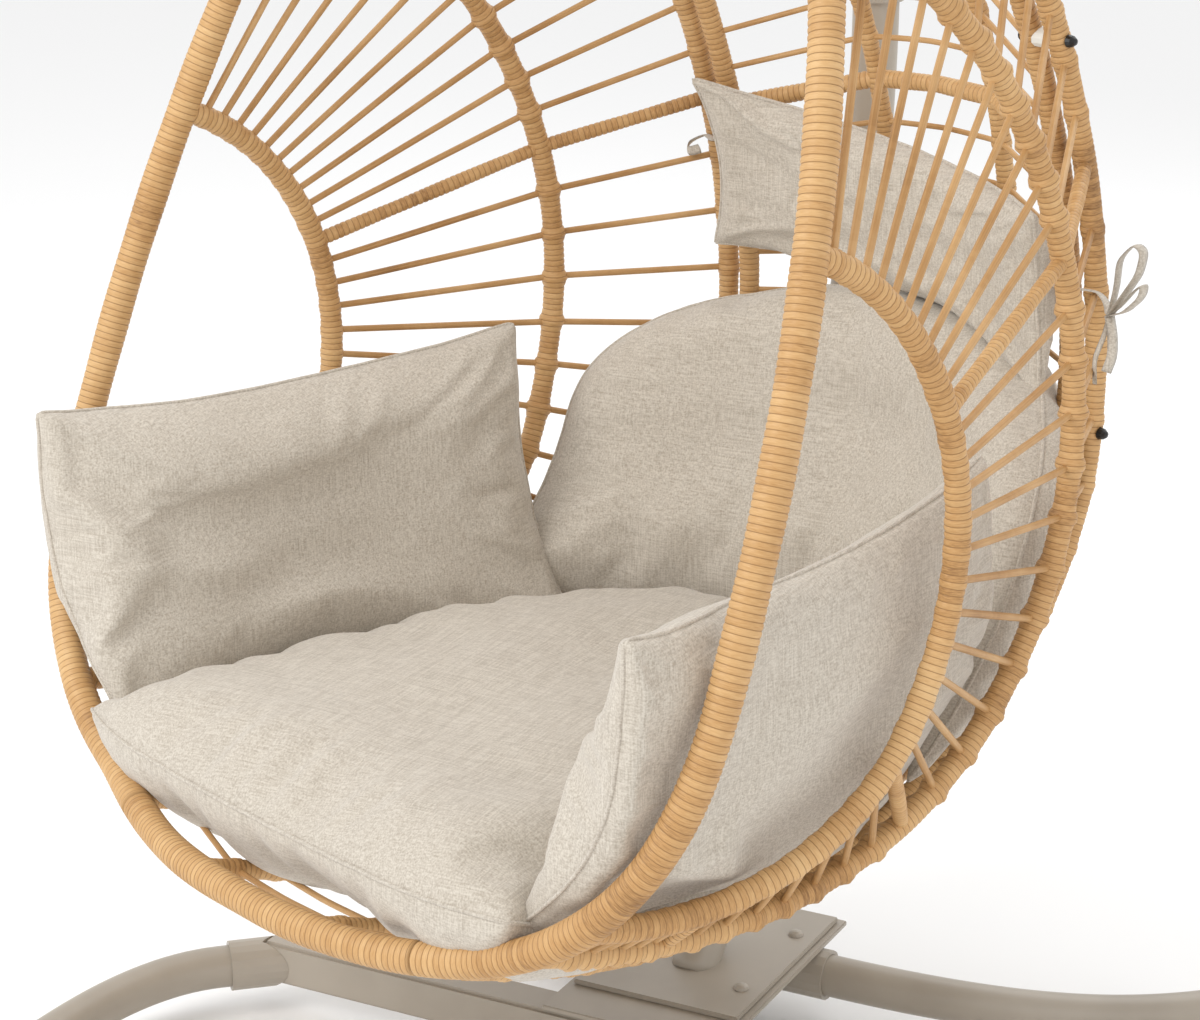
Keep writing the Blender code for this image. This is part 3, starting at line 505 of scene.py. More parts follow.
# ---- The basket's form ---------------------------------------------------------------
@dataclass(frozen=True)
class BasketForm:
    """The basket's curved form, along the rim's lean (u) and square to it, backwards (v)."""

    hook_y: float = -0.055
    yaw_deg: float = -21.0
    rim_bottom_z: float = 0.390
    lean_deg: float = 19.5
    length: float = 1.335
    half_width_most: float = 0.491
    widest_u: float = 0.35
    lower_power: float = 2.5
    upper_power: float = 2.0
    sweep: float = 0.04
    sweep_u: float = 0.05
    deep: float = 0.780
    start_u: float = -0.02
    deepest_u: float = 0.55
    deep_lower_power: float = 1.9
    deep_upper_power: float = 1.65
    plan_power: float = 2.25
    sun_u: float = 0.440
    edge_x: float = 0.270
    back_x: float = 0.236
    arch: tuple[float, float, float, float] = (0.407, 0.300, 0.300, 0.287)
    bow: tuple[float, float, float, float] = (0.470, 0.510, 0.405, 0.525)

    def world(self, point: Vector) -> Vector:
        """A point of the basket's own frame, turned on its swivel into the room."""
        a = math.radians(self.yaw_deg)
        return Vector((point.x * math.cos(a) - point.y * math.sin(a),
                       point.x * math.sin(a) + point.y * math.cos(a) + self.hook_y, point.z))

    def place(self, x: float, u: float, v: float) -> Vector:
        """A point of the basket's own frame from its place along and behind the rim."""
        sin, cos = math.sin(math.radians(self.lean_deg)), math.cos(math.radians(self.lean_deg))
        return Vector((x, (u - self.length) * sin + v * cos, self.rim_bottom_z + u * cos - v * sin))

    def uv(self, point: Vector) -> tuple[float, float]:
        """The inverse of place, without X."""
        sin, cos = math.sin(math.radians(self.lean_deg)), math.cos(math.radians(self.lean_deg))
        across, rise = point.y + self.length * sin, point.z - self.rim_bottom_z
        return across * sin + rise * cos, across * cos - rise * sin

    def half_width(self, u: float) -> float:
        """Half the rim's width at a height along it."""
        if u < self.widest_u:
            drop, power = 1 - max(u, 0.0) / self.widest_u, self.lower_power
        else:
            drop = min(1.0, (u - self.widest_u) / (self.length - self.widest_u))
            power = self.upper_power
        return self.half_width_most * (1 - drop**power) ** (1 / power)

    def rim_v(self, u: float) -> float:
        """How far the lowest part of the rim comes forward."""
        return -self.sweep * max(0.0, 1 - u / self.sweep_u) ** 2

    def depth(self, u: float) -> float:
        """How far the basket reaches back from the rim's plane."""
        if u < self.deepest_u:
            drop = 1 - (max(u, 0.0) - self.start_u) / (self.deepest_u - self.start_u)
            power = self.deep_lower_power
        else:
            drop = min(1.0, (u - self.deepest_u) / (self.length - self.deepest_u))
            power = self.deep_upper_power
        return self.deep * (1 - drop**power) ** (1 / power)

    def shell_x(self, u: float, v: float) -> float:
        """Half the basket's width at a place in its side view."""
        width, deep = self.half_width(u), self.depth(u)
        share = max(0.0, v) / deep if deep > 0 else 1.0
        if share >= 1 or width <= 0:
            return 0.0
        return width * (1 - share**self.plan_power) ** (1 / self.plan_power)

    def reach(self, inside: Callable[[float, float], bool], angle: float) -> tuple[float, float]:
        """The farthest place from the sun point, along an angle, that is still inside."""
        near, far = 0.0, 1.2
        for _ in range(36):
            middle = (near + far) / 2
            if inside(self.sun_u + middle * math.sin(angle), middle * math.cos(angle)):
                near = middle
            else:
                far = middle
        return self.sun_u + near * math.sin(angle), max(0.0, near * math.cos(angle))

    def slice_point(self, x: float, angle: float, shift_to: float | None = None) -> Vector:
        """A point of the shell's section at a fixed X."""
        u, v = self.reach(lambda a, b: 0 < a < self.length and self.shell_x(a, b) > abs(x), angle)
        return self.place(x if shift_to is None else shift_to, u, v + self.rim_v(u))

    def oval_point(self, side: Side, angle: float,
                   oval: tuple[float, float, float, float]) -> Vector:
        """A point of an arch that lies on the shell's side."""
        centre, upper, lower, deep = oval
        u, v = self.reach(lambda a, b: ((a - centre) / (upper if a > centre else lower)) ** 2
                          + (b / deep) ** 2 < 1, angle)
        return self.place(side.value * self.shell_x(u, v), u, v + self.rim_v(u))

    def sweep_angles(self, count: int) -> list[float]:
        """Angles from straight up the rim round to straight down it."""
        return [math.pi / 2 - math.pi * k / count for k in range(count + 1)]

    def profile(self, x: float) -> list[Vector]:
        """The path of an edge tube or a back tube."""
        middle = (self.edge_x + self.back_x) / 2
        path = [self.slice_point(middle, a, x) for a in self.sweep_angles(300)]
        return path[2:-2]

    def rim(self) -> list[Vector]:
        """The whole rim, from its lowest point up the right side and back down the left."""
        half = []
        for k in range(401):
            turn = math.pi / 2 * min(k, 400 - k) / 200
            if k <= 200:
                u = self.widest_u * (1 - math.cos(turn) ** (2 / self.lower_power))
                x = self.half_width_most * math.sin(turn) ** (2 / self.lower_power)
            else:
                u = self.widest_u + ((self.length - self.widest_u)
                                     * math.cos(turn) ** (2 / self.upper_power))
                x = self.half_width_most * math.sin(turn) ** (2 / self.upper_power)
            half.append(self.place(x, u, self.rim_v(u)))
        return half + [Vector((-p.x, p.y, p.z)) for p in half[-2:0:-1]]


@dataclass
class Basket:
    """The wrapped frame, its side panels and its back panel."""

    form: BasketForm
    pieces: Pieces
    rim_radius: float = 0.0160
    frame_radius: float = 0.0118
    middle_radius: float = 0.0098
    strut_radius: float = 0.0078
    strand_radius: float = 0.0037
    wrap_pitch: float = 0.0065
    rim_joint_x: float = 0.227
    struts_deg: tuple[float, float, float] = (38.0, -28.5, -66.5)
    top_deg: float = 84.0
    low_deg: float = -82.0
    between: tuple[int, int, int, int] = (10, 11, 7, 6)
    back_pitch: float = 0.050
    mid_x: float = 0.085
    rail_u: float = 0.92

    def bar(self, name: str, path: Path, reach: Callable, step: float, sides: int,
            smooth: int = 0) -> bpy.types.Mesh:
        """Sweep one bar along a path.

        Args:
            name: The mesh's name.
            path: The bar's middle line, in the basket's own frame.
            reach: The radius at each distance along and angle round.
            step: The distance between rings.
            sides: How many points each ring has.
            smooth: How many times to smooth the path.

        Returns:
            The bar's mesh, in the room.
        """
        return Swept([self.form.world(p) for p in path], reach, step, sides, smooth).mesh(name)

    def wrap(self, name: str, path: Path, radius: float, sides: int = 14,
             ties: Path = (), lump: float = 0.0) -> bpy.types.Mesh:
        """Sweep a tube wrapped in strand.

        Args:
            name: The mesh's name.
            path: The tube's middle line, in the basket's own frame.
            radius: The radius over the strand.
            sides: How many points each ring has.
            ties: Places where another strand is tied on.
            lump: How far each tie stands up.

        Returns:
            The tube's mesh, in the room.
        """
        line = evenly([self.form.world(p) for p in path], 0.002)
        along = np.concatenate([[0.0], np.cumsum(np.linalg.norm(np.diff(line, axis=0), axis=1))])
        spots = np.array([along[np.linalg.norm(line - np.array(self.form.world(t)), axis=1)
                                .argmin()] for t in ties])
        reach = wrapped(radius, self.wrap_pitch, spots, lump)
        return self.bar(name, path, reach, self.wrap_pitch / 4, sides)

    def angles(self) -> tuple[list[float], list[float]]:
        """The strands' and the struts' angles round the sun point."""
        marks = [self.top_deg, *self.struts_deg, self.low_deg]
        first, second, third, fourth = self.between
        strands = list(np.linspace(marks[0], marks[1], first + 1)[:-1])
        strands += list(np.linspace(marks[1], marks[2], second + 2)[1:-1])
        strands += list(np.linspace(marks[2], marks[3], third + 2)[1:-1])
        strands += list(np.linspace(marks[3], marks[4], fourth + 1)[1:])
        return [math.radians(a) for a in strands], [math.radians(a) for a in self.struts_deg]

    def build(self) -> None:
        """Build the rim, the two sides and the back."""
        self.build_rim()
        for side in Side:
            self.build_side(side)
        self.build_back()

    def build_rim(self) -> None:
        """Build the hoop and the sill, each wrapped, with a gap at the two seams."""
        loop = self.form.rim()
        half = [p for p in loop[:201] if p.x < self.rim_joint_x]
        sill = [Vector((-p.x, p.y, p.z)) for p in half[:0:-1]] + half
        right = loop[len(half):401]
        hoop = right + [Vector((-p.x, p.y, p.z)) for p in right[-2::-1]]
        self.pieces.add("wrapped_sill", self.wrap("wrapped_sill", sill, self.rim_radius, 20),
                        "basket", "honey_wicker", ["rim_sill"])
        self.pieces.add("wrapped_hoop", self.wrap("wrapped_hoop", hoop, self.rim_radius, 20),
                        "basket", "honey_wicker", ["rim_hoop"])

    def build_side(self, side: Side) -> None:
        """Build one side: inner arch, outer bow, struts, strands and edge tubes."""
        form, word = self.form, side.word
        strands, struts = self.angles()
        sweep = form.sweep_angles(260)
        arch = [form.oval_point(side, a, form.arch) for a in sweep]
        bow = [form.oval_point(side, a, form.bow) for a in sweep]
        edge = form.profile(side.value * form.edge_x)
        arch_ties = [form.oval_point(side, a, form.arch) for a in strands]
        bow_ties = [form.oval_point(side, a, form.bow) for a in strands]
        middle = (form.edge_x + form.back_x) / 2
        edge_ties = [form.slice_point(middle, a, side.value * form.edge_x) for a in strands]
        self.pieces.add(f"wrapped_arch_{word}",
                        self.wrap(f"wrapped_arch_{word}", arch, self.frame_radius, 14,
                                  arch_ties, 0.0010),
                        "basket", "honey_wicker", [f"inner_arch_{word}"])
        bow_mesh = self.wrap("bow", bow, self.frame_radius, 14, bow_ties, 0.0035)
        bars = [bow_mesh]
        for angle in struts:
            path = [form.oval_point(side, angle, form.arch), form.oval_point(side, angle, form.bow),
                    form.slice_point(middle, angle, side.value * form.edge_x)]
            bars.append(self.wrap("strut", path, self.strut_radius, 12))
        self.pieces.add(f"wrapped_bow_{word}", joined(f"wrapped_bow_{word}", bars),
                        "basket", "honey_wicker", [f"strand_panel_{word}"])
        laid = []
        for number, ends in enumerate(zip(arch_ties, bow_ties, edge_ties)):
            wobble = 0.0012 * math.sin(2.3 * number)
            middle_point = ends[1] + Vector((0, wobble, wobble))
            laid.append(self.bar("strand", [ends[0], middle_point, ends[2]],
                                 plain(self.strand_radius), 0.012, 8, 2))
        self.pieces.add(f"laid_strands_{word}", joined(f"laid_strands_{word}", laid),
                        "basket", "honey_wicker", look="laid_strand")
        self.pieces.add(f"wrapped_edge_{word}",
                        self.wrap(f"wrapped_edge_{word}", edge, self.frame_radius, 14,
                                  edge_ties, 0.0015),
                        "basket", "honey_wicker", [f"edge_tube_{word}"])
        back = form.profile(side.value * form.back_x)
        self.pieces.add(f"wrapped_back_tube_{word}",
                        self.wrap(f"wrapped_back_tube_{word}", back, self.frame_radius, 14),
                        "basket", "honey_wicker", [f"back_tube_{word}"])

    def build_back(self) -> None:
        """Build the middle tubes, the rail and the level strands."""
        form = self.form
        sweep = form.sweep_angles(400)
        centre = [form.slice_point(0.0, a) for a in sweep]
        middle = [form.slice_point(self.mid_x, a) for a in sweep]
        edge = form.profile(form.back_x)
        length = float(np.linalg.norm(np.diff(np.array(middle), axis=0), axis=1).sum())
        count = int(length / self.back_pitch)
        rows = [evenly(path, float(np.linalg.norm(np.diff(np.array(path), axis=0), axis=1).sum())
                       / count) for path in (centre, middle, edge)]
        rail_z = form.place(0, self.rail_u, form.depth(self.rail_u)).z
        heights = [abs(p[2] - rail_z) if p[2] > form.rim_bottom_z + 0.3 else 9.0
                   for p in rows[0]]
        rail = int(np.argmin(heights[1:count])) + 1
        tubes, laid, ties = [], [], []
        for k in range(1, count):
            half = [Vector(row[k]) for row in rows]
            path = [Vector((-p.x, p.y, p.z)) for p in half[:0:-1]] + half
            ties.append(half[1])
            if k == rail:
                tubes.append(self.wrap("rail", path, self.middle_radius, 12))
            else:
                laid.append(self.bar("level", path, plain(self.strand_radius * 0.85), 0.010, 8, 3))
        for sign in (-1, 1):
            path = [Vector((sign * p.x, p.y, p.z)) for p in middle]
            spots = [Vector((sign * p.x, p.y, p.z)) for p in ties]
            tubes.append(self.wrap("middle", path, self.middle_radius, 12, spots, 0.0015))
        self.pieces.add("wrapped_back", joined("wrapped_back", tubes), "basket", "honey_wicker",
                        ["back_panel"])
        self.pieces.add("laid_back_strands", joined("laid_back_strands", laid), "basket",
                        "honey_wicker", look="laid_strand")


# ---- Cushions ------------------------------------------------------------------------
@dataclass
class Cushion:
    """A sewn cushion: two panels on a curved middle surface, puffed between their seams."""

    name: str
    node: str
    middle: Callable[[float, float], Vector]
    inner: float
    outer: float
    fill: float
    columns: int = 56
    rows: int = 44
    fullness: float = 5.0
    pucker: float = 0.0040
    slump: float = 0.012
    welt: float = 0.0020

    def normal(self, s: float, t: float) -> Vector:
        """The middle surface's normal, towards the sitter."""
        step = 0.01
        across = self.middle(s + step, t) - self.middle(s - step, t)
        up = self.middle(s, t + step) - self.middle(s, t - step)
        normal = across.cross(up).normalized()
        centre = Vector((0.0, -0.10, 0.85))
        return normal if normal.dot(centre - self.middle(s, t)) > 0 else -normal

    def profile(self, s: float, t: float) -> float:
        """How full the cushion is at a place, from 0 at a seam to 1."""
        p = self.fullness
        return ((1 - abs(s) ** p) * (1 - abs(t) ** p)) ** 0.5

    def ripple(self, s: float, t: float) -> float:
        """Gathers that run in from the seams and fade."""
        edge = max(abs(s), abs(t))
        round_edge = math.atan2(t, s)
        waves = math.sin(23 * round_edge + 2.0 * math.sin(5 * round_edge)) \
            + 0.6 * math.sin(41 * round_edge + 1.3)
        gathers = self.pucker * waves * math.exp(-((1 - edge) / 0.16) ** 2) * (1 - edge) * 6
        sag = noise.noise(Vector((2.2 * s, 2.2 * t, len(self.name)))) * self.slump
        return gathers + sag * self.profile(s, t)

    def sheet_mesh(self, form: BasketForm) -> tuple[bpy.types.Mesh, list[int]]:
        """Build the closed mesh.

        Args:
            form: The basket's form, which turns its frame into the room's.

        Returns:
            The mesh, and the numbers of its seam's vertices in order.
        """
        columns, rows = self.columns, self.rows
        vertices: list[Vector] = []
        number: dict[tuple[int, int, int], int] = {}
        for face in (1, -1):
            for i in range(columns + 1):
                for j in range(rows + 1):
                    s, t = 2 * i / columns - 1, 2 * j / rows - 1
                    border = i in (0, columns) or j in (0, rows)
                    if border and face < 0:
                        number[face, i, j] = number[1, i, j]
                        continue
                    thick = self.inner if face > 0 else self.outer
                    lift = thick * self.profile(s, t) + (0 if border else self.ripple(s, t))
                    point = self.middle(s, t) + self.normal(s, t) * lift * face
                    number[face, i, j] = len(vertices)
                    vertices.append(form.world(point))
        faces = []
        for face in (1, -1):
            for i in range(columns):
                for j in range(rows):
                    quad = [number[face, i, j], number[face, i + 1, j],
                            number[face, i + 1, j + 1], number[face, i, j + 1]]
                    faces.append(quad if face > 0 else quad[::-1])
        mesh = bpy.data.meshes.new(self.name)
        mesh.from_pydata([tuple(v) for v in vertices], [], faces)
        bm = bmesh.new()
        bm.from_mesh(mesh)
        bmesh.ops.recalc_face_normals(bm, faces=bm.faces)
        bm.to_mesh(mesh)
        bm.free()
        mesh.shade_smooth()
        ring = [(i, 0) for i in range(columns)] + [(columns, j) for j in range(rows)]
        ring += [(i, rows) for i in range(columns, 0, -1)] + [(0, j) for j in range(rows, 0, -1)]
        return mesh, [number[1, i, j] for i, j in ring]

    def puff(self, piece: bpy.types.Object, seam: Sequence[int], cap: float = 0.018) -> None:
        """Blow the cushion up as cloth between its sewn seams, and keep the result.

        Args:
            piece: The cushion.
            seam: The vertices that stay where they are.
            cap: The farthest that a point may move, in metres.
        """
        group = piece.vertex_groups.new(name="seam")
        group.add(list(seam), 1.0, "REPLACE")
        before = np.array([tuple(v.co) for v in piece.data.vertices])
        cloth = piece.modifiers.new("puff", "CLOTH")
        settings = cloth.settings
        settings.quality = 4
        settings.mass = 0.2
        settings.tension_stiffness = 12
        settings.compression_stiffness = 12
        settings.shear_stiffness = 4
        settings.bending_stiffness = 0.3
        settings.use_pressure = True
        settings.uniform_pressure_force = 5.0
        settings.shrink_min = -0.05
        settings.vertex_group_mass = "seam"
        settings.effector_weights.gravity = 0.0
        scene = bpy.context.scene
        for frame_number in range(1, 13):
            scene.frame_set(frame_number)
        graph = bpy.context.evaluated_depsgraph_get()
        after = np.array([tuple(v.co) for v in piece.evaluated_get(graph).data.vertices])
        piece.modifiers.remove(cloth)
        piece.vertex_groups.clear()
        scene.frame_set(1)
        move = after - before
        length = np.linalg.norm(move, axis=1)[:, None] + 1e-9
        move *= cap * np.tanh(length / cap) / length
        piece.data.vertices.foreach_set("co", (before + move).reshape(-1))
        piece.data.update()

    def build(self, form: BasketForm, pieces: Pieces) -> None:
        """Args:
            form: The basket's form, which turns its frame into the room's.
            pieces: The maker of visual pieces.
        """
        mesh, seam = self.sheet_mesh(form)
        piece = pieces.add(self.name, mesh, "basket", "woven_linen", [self.node])
        self.puff(piece, seam)
        round_edge = piece.modifiers.new("round", "SUBSURF")
        round_edge.levels = round_edge.render_levels = 1
        graph = bpy.context.evaluated_depsgraph_get()
        mesh = bpy.data.meshes.new_from_object(piece.evaluated_get(graph))
        piece.modifiers.clear()
        piece.data = mesh
        path = [Vector(mesh.vertices[k].co) for k in seam]
        welt = Swept(path + path[:1], plain(self.welt), 0.006, 8, 1).mesh(self.name + "_seam")
        pieces.add(self.name + "_seam", welt, "basket", "woven_linen")


@dataclass
class Upholstery:
    """All the cushions, laid against the basket's wall."""

    form: BasketForm
    pieces: Pieces
    seat_top_z: float = 0.480
    wall_gap: float = 0.016

    def wall_y(self, x: float, z: float) -> float:
        """How far back the basket's wall is at a place seen from the front."""
        near, far = -0.3, 0.9
        for _ in range(30):
            middle = (near + far) / 2
            u, v = self.form.uv(Vector((x, middle, z)))
            inside = 0 < u < self.form.length and self.form.shell_x(u, v) > abs(x)
            near, far = (middle, far) if inside else (near, middle)
        return near

    def wing(self, side: Side) -> Callable[[float, float], Vector]:
        """The middle surface of a side wing, which laps over the rim at its front."""
        def middle(s: float, t: float) -> Vector:
            y = -0.132 + 0.280 * s
            low = self.seat_top_z - 0.030 - 0.010 * s
            high = 0.765 + 0.012 * s + 0.016 * s * s
            z = low + (high - low) * (t + 1) / 2
            u, v = self.form.uv(Vector((0, y, z)))
            lap = max(0.0, min(1.0, (0.10 - v) / 0.16))
            x = self.form.shell_x(u, max(v, 0.0)) - 0.058 - self.wall_gap
            x += 0.034 * lap * lap * (3 - 2 * lap)
            return Vector((side.value * max(x, 0.1), y, z))
        return middle

    def seat(self, s: float, t: float) -> Vector:
        """The middle surface of the seat."""
        y = -0.085 + 0.385 * t
        curl = max(0.0, (-t - 0.5) / 0.5)
        z = self.seat_top_z - 0.044 + 0.006 * s * s + 0.042 * curl * curl
        u, v = self.form.uv(Vector((0, y, z)))
        width = self.form.shell_x(u, max(v, 0.0)) - 0.030
        return Vector((s * max(width, 0.12), y + 0.032 * s**4 * max(0.0, -t), z))

    def back(self, s: float, t: float) -> Vector:
        """The middle surface of the back."""
        x = s * (0.345 - 0.085 * max(0.0, t) ** 3)
        z = 0.655 + 0.185 * t - 0.045 * s * s * max(0.0, t)
        return Vector((x, self.wall_y(x, z) - 0.048 - self.wall_gap, z))

    def pillow(self, s: float, t: float) -> Vector:
        """The middle surface of the headrest, with drawn-out corners."""
        x = 0.246 * s * (1 - 0.05 * (1 - t * t)) + 0.006
        z = 0.925 + t * 0.098 * (0.86 + 0.14 * s * s) - 0.040 * s
        return Vector((x, self.wall_y(x, z) - 0.050 - self.wall_gap, z))

    def build(self) -> None:
        """Build the four body cushions, the headrest and its ties."""
        cushions = [
            Cushion("linen_seat", "seat_cushion", self.seat, 0.072, 0.060, 0.75, 70, 60, 7.0),
            Cushion("linen_back", "back_cushion", self.back, 0.070, 0.040, 0.7),
            Cushion("linen_headrest", "headrest_pillow", self.pillow, 0.062, 0.045, 0.65,
                    56, 30, 3.0),
        ]
        for side in Side:
            cushions.append(Cushion(f"linen_wing_{side.word}", f"{side.word}_wing",
                                    self.wing(side), 0.080, 0.050, 0.7))
        for cushion in cushions:
            cushion.build(self.form, self.pieces)
        self.build_ties()

    def ribbon(self, points: Sequence[tuple[float, float, float]]) -> bpy.types.Mesh:
        """A flat woven tape, 11 mm wide, along given points."""
        half, thin = 0.0055, 0.0008

        def flat(along: np.ndarray, angle: np.ndarray) -> np.ndarray:
            return half * thin / np.sqrt((thin * np.cos(angle)) ** 2
                                         + (half * np.sin(angle)) ** 2) + 0 * along
        path = [self.form.world(Vector(p)) for p in points]
        return Swept(path, flat, 0.004, 16, 4).mesh("tape")

    def build_ties(self) -> None:
        """Tie the headrest to the back tubes: a bow on the right, a short loop on the left."""
        knot = (0.318, 0.362, 0.885)
        tapes = [
            self.ribbon([(0.245, 0.352, 0.905), (0.285, 0.385, 0.90), (0.305, 0.375, 0.892), knot]),
            self.ribbon([knot, (0.325, 0.362, 0.915), (0.330, 0.358, 0.945), (0.350, 0.355, 0.965),
                         (0.365, 0.352, 0.960), (0.358, 0.354, 0.935), (0.335, 0.358, 0.905),
                         knot]),
            self.ribbon([knot, (0.345, 0.352, 0.895), (0.368, 0.348, 0.915), (0.372, 0.346, 0.930),
                         (0.360, 0.348, 0.922), (0.335, 0.355, 0.897), knot]),
            self.ribbon([knot, (0.316, 0.358, 0.865), (0.308, 0.354, 0.840),
                         (0.312, 0.352, 0.815)]),
            self.ribbon([knot, (0.328, 0.356, 0.868), (0.334, 0.350, 0.848),
                         (0.330, 0.346, 0.832)]),
            self.ribbon([(-0.240, 0.350, 0.985), (-0.275, 0.372, 0.985), (-0.292, 0.360, 0.975),
                         (-0.285, 0.350, 0.965), (-0.265, 0.352, 0.972)]),
        ]
        self.pieces.add("headrest_ties", joined("headrest_ties", tapes), "basket", "woven_linen")


# ---- Stand ---------------------------------------------------------------------------
def bezier(start: Vector, first: Vector, second: Vector, end: Vector, count: int) -> list[Vector]:
    """Lay out a cubic curve.

    Args:
        start: Where it starts.
        first: The handle of its start.
        second: The handle of its end.
        end: Where it ends.
        count: How many steps to take.

    Returns:
        The points, one more than the steps.
    """
    steps = [k / count for k in range(count + 1)]
    return [(1 - t)**3 * start + 3 * (1 - t)**2 * t * first + 3 * (1 - t) * t * t * second
            + t**3 * end for t in steps]


@dataclass
class Stand:
    """The bent tubes of the stand, drawn round over the frame's coarser ones."""

    pieces: Pieces
    half_depth: float = 0.616
    height: float = 2.0
    pole_radius: float = 0.027
    leg_radius: float = 0.024
    collar_wall: float = 0.005
    collar_length: float = 0.060
    plate_top_z: float = 0.098
    plate_thickness: float = 0.006
    gap: float = 0.0003
    socket_wall: float = 0.005
    foot_height: float = 0.008
    pole_foot_y: float = 0.130
    pole_foot_lean_deg: float = 42.0
    pole_joint_z: float = 1.15
    pole_tip_y: float = -0.105
    front_heading_deg: float = 222.0

    def tube(self, name: str, path: Path, radius: float, node: str) -> None:
        """Draw one painted tube in place of its node.

        Args:
            name: The piece's name.
            path: The tube's middle line.
            radius: The tube's radius.
            node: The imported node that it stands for.
        """
        mesh = Swept(path, plain(radius), 0.012, 40).mesh(name)
        self.pieces.add(name, mesh, "stand", "powder_coated_steel", [node])

    def build(self) -> None:
        """Build the two halves of the pole and the legs."""
        back = self.half_depth - self.pole_radius - self.collar_wall
        lean = math.radians(self.pole_foot_lean_deg)
        foot = Vector((0, self.pole_foot_y, self.plate_top_z))
        along = Vector((0, math.sin(lean), math.cos(lean)))
        joint = Vector((0, back, self.pole_joint_z))
        tip = Vector((0, self.pole_tip_y, self.height - self.pole_radius))
        straight = Vector((0, 0, self.collar_length / 2))
        level = Vector((0, self.collar_length / 2, 0))
        lower = [foot - 0.020 * along] + bezier(foot, foot + 0.42 * along,
                                                joint - Vector((0, 0, 0.40)), joint - straight, 60)
        upper = bezier(joint + straight, joint + Vector((0, 0, 0.40)),
                       tip + Vector((0, 0.42, 0)), tip + level, 60)
        self.tube("painted_lower_pole", lower + [joint], self.pole_radius, "lower_pole")
        self.tube("painted_upper_pole", [joint] + upper + [tip], self.pole_radius, "upper_pole")
        for side in Side:
            for place in ("front", "rear"):
                self.build_leg(side, place)

    def build_leg(self, side: Side, place: str) -> None:
        """Build one bent leg from its socket to its toe.

        Args:
            side: The side that the leg stands on.
            place: "front" or "rear".
        """
        toe_z = self.foot_height + self.leg_radius
        socket_z = (self.plate_top_z - self.plate_thickness - self.gap - self.plate_thickness
                    - self.gap - self.leg_radius - self.socket_wall)
        if place == "front":
            heading = math.radians(self.front_heading_deg)
            axis = Vector((-side.value * math.cos(heading), math.sin(heading), 0))
            root = Vector((side.value * 0.455, -0.015, socket_z))
            mouth, toe = root + axis * 0.070, Vector((side.value * 0.600, -self.half_depth, toe_z))
            bend = mouth + axis * 0.012
            curve = bezier(bend, bend + axis * 0.15, toe + Vector((0, 0.20, 0)), toe, 40)
            start = mouth - axis * 0.0247
        else:
            axis = Vector((side.value, 0, 0))
            mouth, toe = Vector((side.value * 0.118, 0.235, socket_z)), Vector(
                (side.value * 0.520, 0.400, toe_z))
            bend = mouth + axis * 0.012
            run = Vector((side.value * 0.10, 0.09, 0))
            curve = bezier(bend, bend + axis * 0.19, toe - run, toe, 40)
            start = mouth - axis * 0.0447
        name = f"{place}_leg_{side.word}"
        self.tube(f"painted_{name}", [start] + curve, self.leg_radius, name)


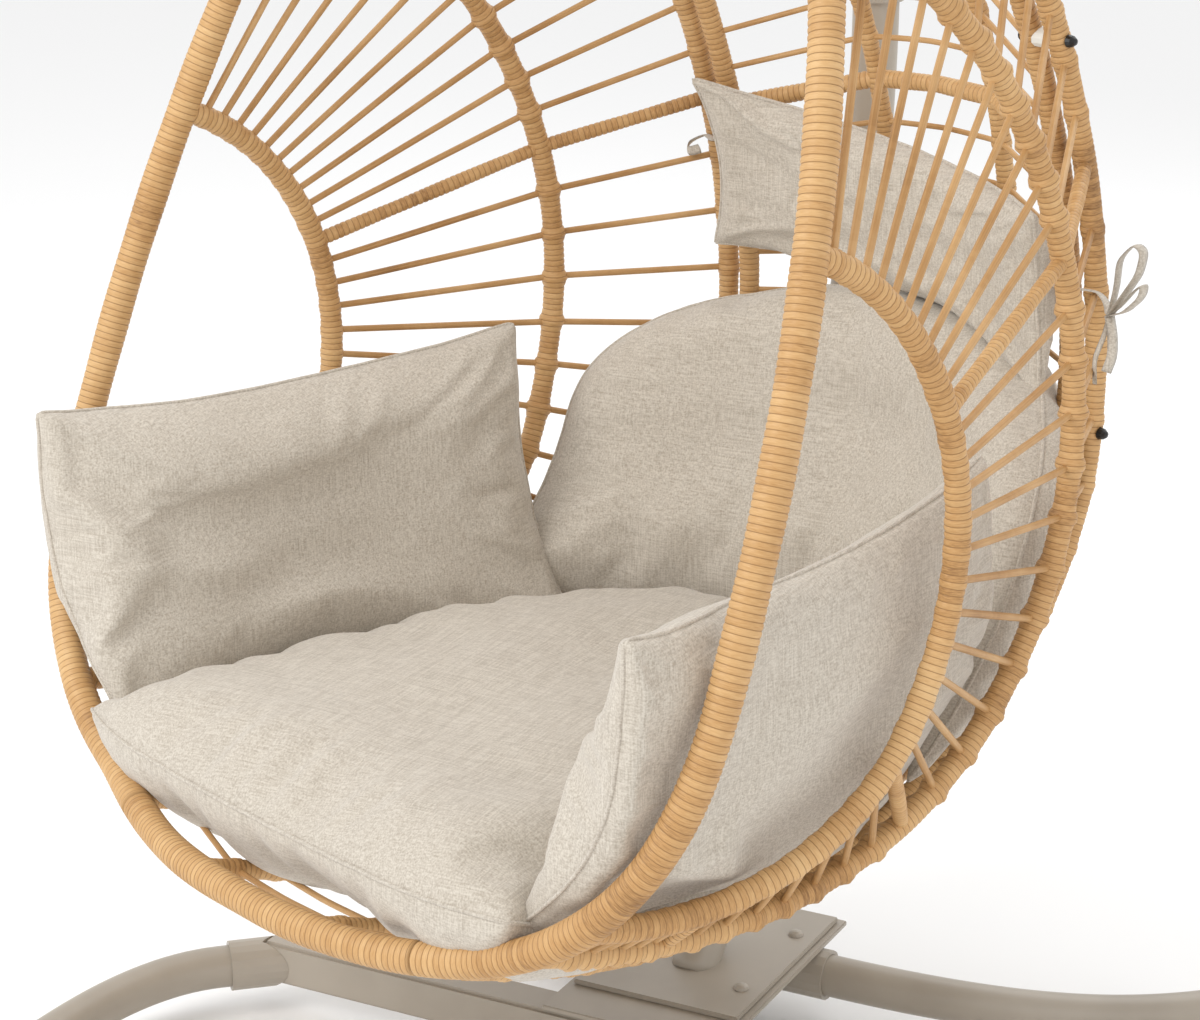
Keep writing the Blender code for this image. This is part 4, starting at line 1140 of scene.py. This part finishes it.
# ---- Studio --------------------------------------------------------------------------
@dataclass
class Studio:
    """Floor, light and camera."""

    hook_y: float = -0.055
    azimuth_deg: float = 27.4
    pitch_deg: float = 17.8
    lens_mm: float = 87.0
    sensor_mm: float = 36.0
    floor_reach: float = 40.0

    def build(self) -> None:
        """Build the camera, the pale floor and the soft lights."""
        camera = bpy.data.objects.new("camera", bpy.data.cameras.new("camera"))
        camera.data.lens = self.lens_mm
        camera.data.sensor_width = self.sensor_mm
        camera.location = (1.268, self.hook_y - 2.501, 1.583)
        camera.rotation_euler = (math.radians(90 - self.pitch_deg), 0,
                                 math.radians(self.azimuth_deg))
        bpy.context.scene.collection.objects.link(camera)
        bpy.context.scene.camera = camera
        bpy.context.scene.view_settings.view_transform = "Standard"
        mesh = bpy.data.meshes.new("floor")
        reach = self.floor_reach
        mesh.from_pydata([(-reach, -reach, 0), (reach, -reach, 0), (reach, reach, 0),
                          (-reach, reach, 0)], [], [(0, 1, 2, 3)])
        floor = bpy.data.objects.new("floor", mesh)
        bpy.context.scene.collection.objects.link(floor)
        paint = bpy.data.materials.new("pale_floor")
        paint.use_nodes = True
        shader = paint.node_tree.nodes["Principled BSDF"]
        shader.inputs["Base Color"].default_value = linear("#F6F6F6")
        shader.inputs["Roughness"].default_value = 0.9
        mesh.materials.append(paint)
        self.light("key", (-2.2, -3.4, 3.8), 2.4, 120.0)
        self.light("fill", (3.6, -2.6, 2.6), 3.0, 28.0)
        self.light("back", (0.5, 3.2, 3.6), 3.0, 50.0)
        world = bpy.data.worlds.new("studio")
        world.use_nodes = True
        world.node_tree.nodes["Background"].inputs["Color"].default_value = (1, 1, 1, 1)
        world.node_tree.nodes["Background"].inputs["Strength"].default_value = 0.95
        bpy.context.scene.world = world

    def light(self, name: str, place: tuple[float, float, float], size: float,
              power: float) -> None:
        """Add one large soft light that faces the chair.

        Args:
            name: The light's name.
            place: Where it stands.
            size: The side of its square face, in metres.
            power: Its power, in watts.
        """
        data = bpy.data.lights.new(name, "AREA")
        data.size = size
        data.energy = power
        lamp = bpy.data.objects.new(name, data)
        lamp.location = place
        aim = Vector((0, 0, 0.8)) - Vector(place)
        lamp.rotation_euler = aim.to_track_quat("-Z", "Y").to_euler()
        bpy.context.scene.collection.objects.link(lamp)


def dress_frame(frame: dict, pieces: Pieces) -> None:
    """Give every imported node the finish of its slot.

    Args:
        frame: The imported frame, with its record and its nodes.
        pieces: The holder of the finishes.
    """
    slots = {row["node"]: row["material_slot"] for row in frame["record"]["subparts"]}
    for node, obj in frame["nodes"].items():
        finish = pieces.materials[slots[node]]
        if not obj.material_slots:
            obj.data.materials.append(finish)
        for slot in obj.material_slots:
            slot.material = finish


def main() -> None:
    """Build the studio, the stand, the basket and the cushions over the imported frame."""
    logging.basicConfig(level=logging.INFO)
    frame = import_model()
    Studio().build()
    pieces = Pieces()
    dress_frame(frame, pieces)
    form = BasketForm()
    Stand(pieces).build()
    Basket(form, pieces).build()
    Upholstery(form, pieces).build()


if __name__ == "__main__":
    main()
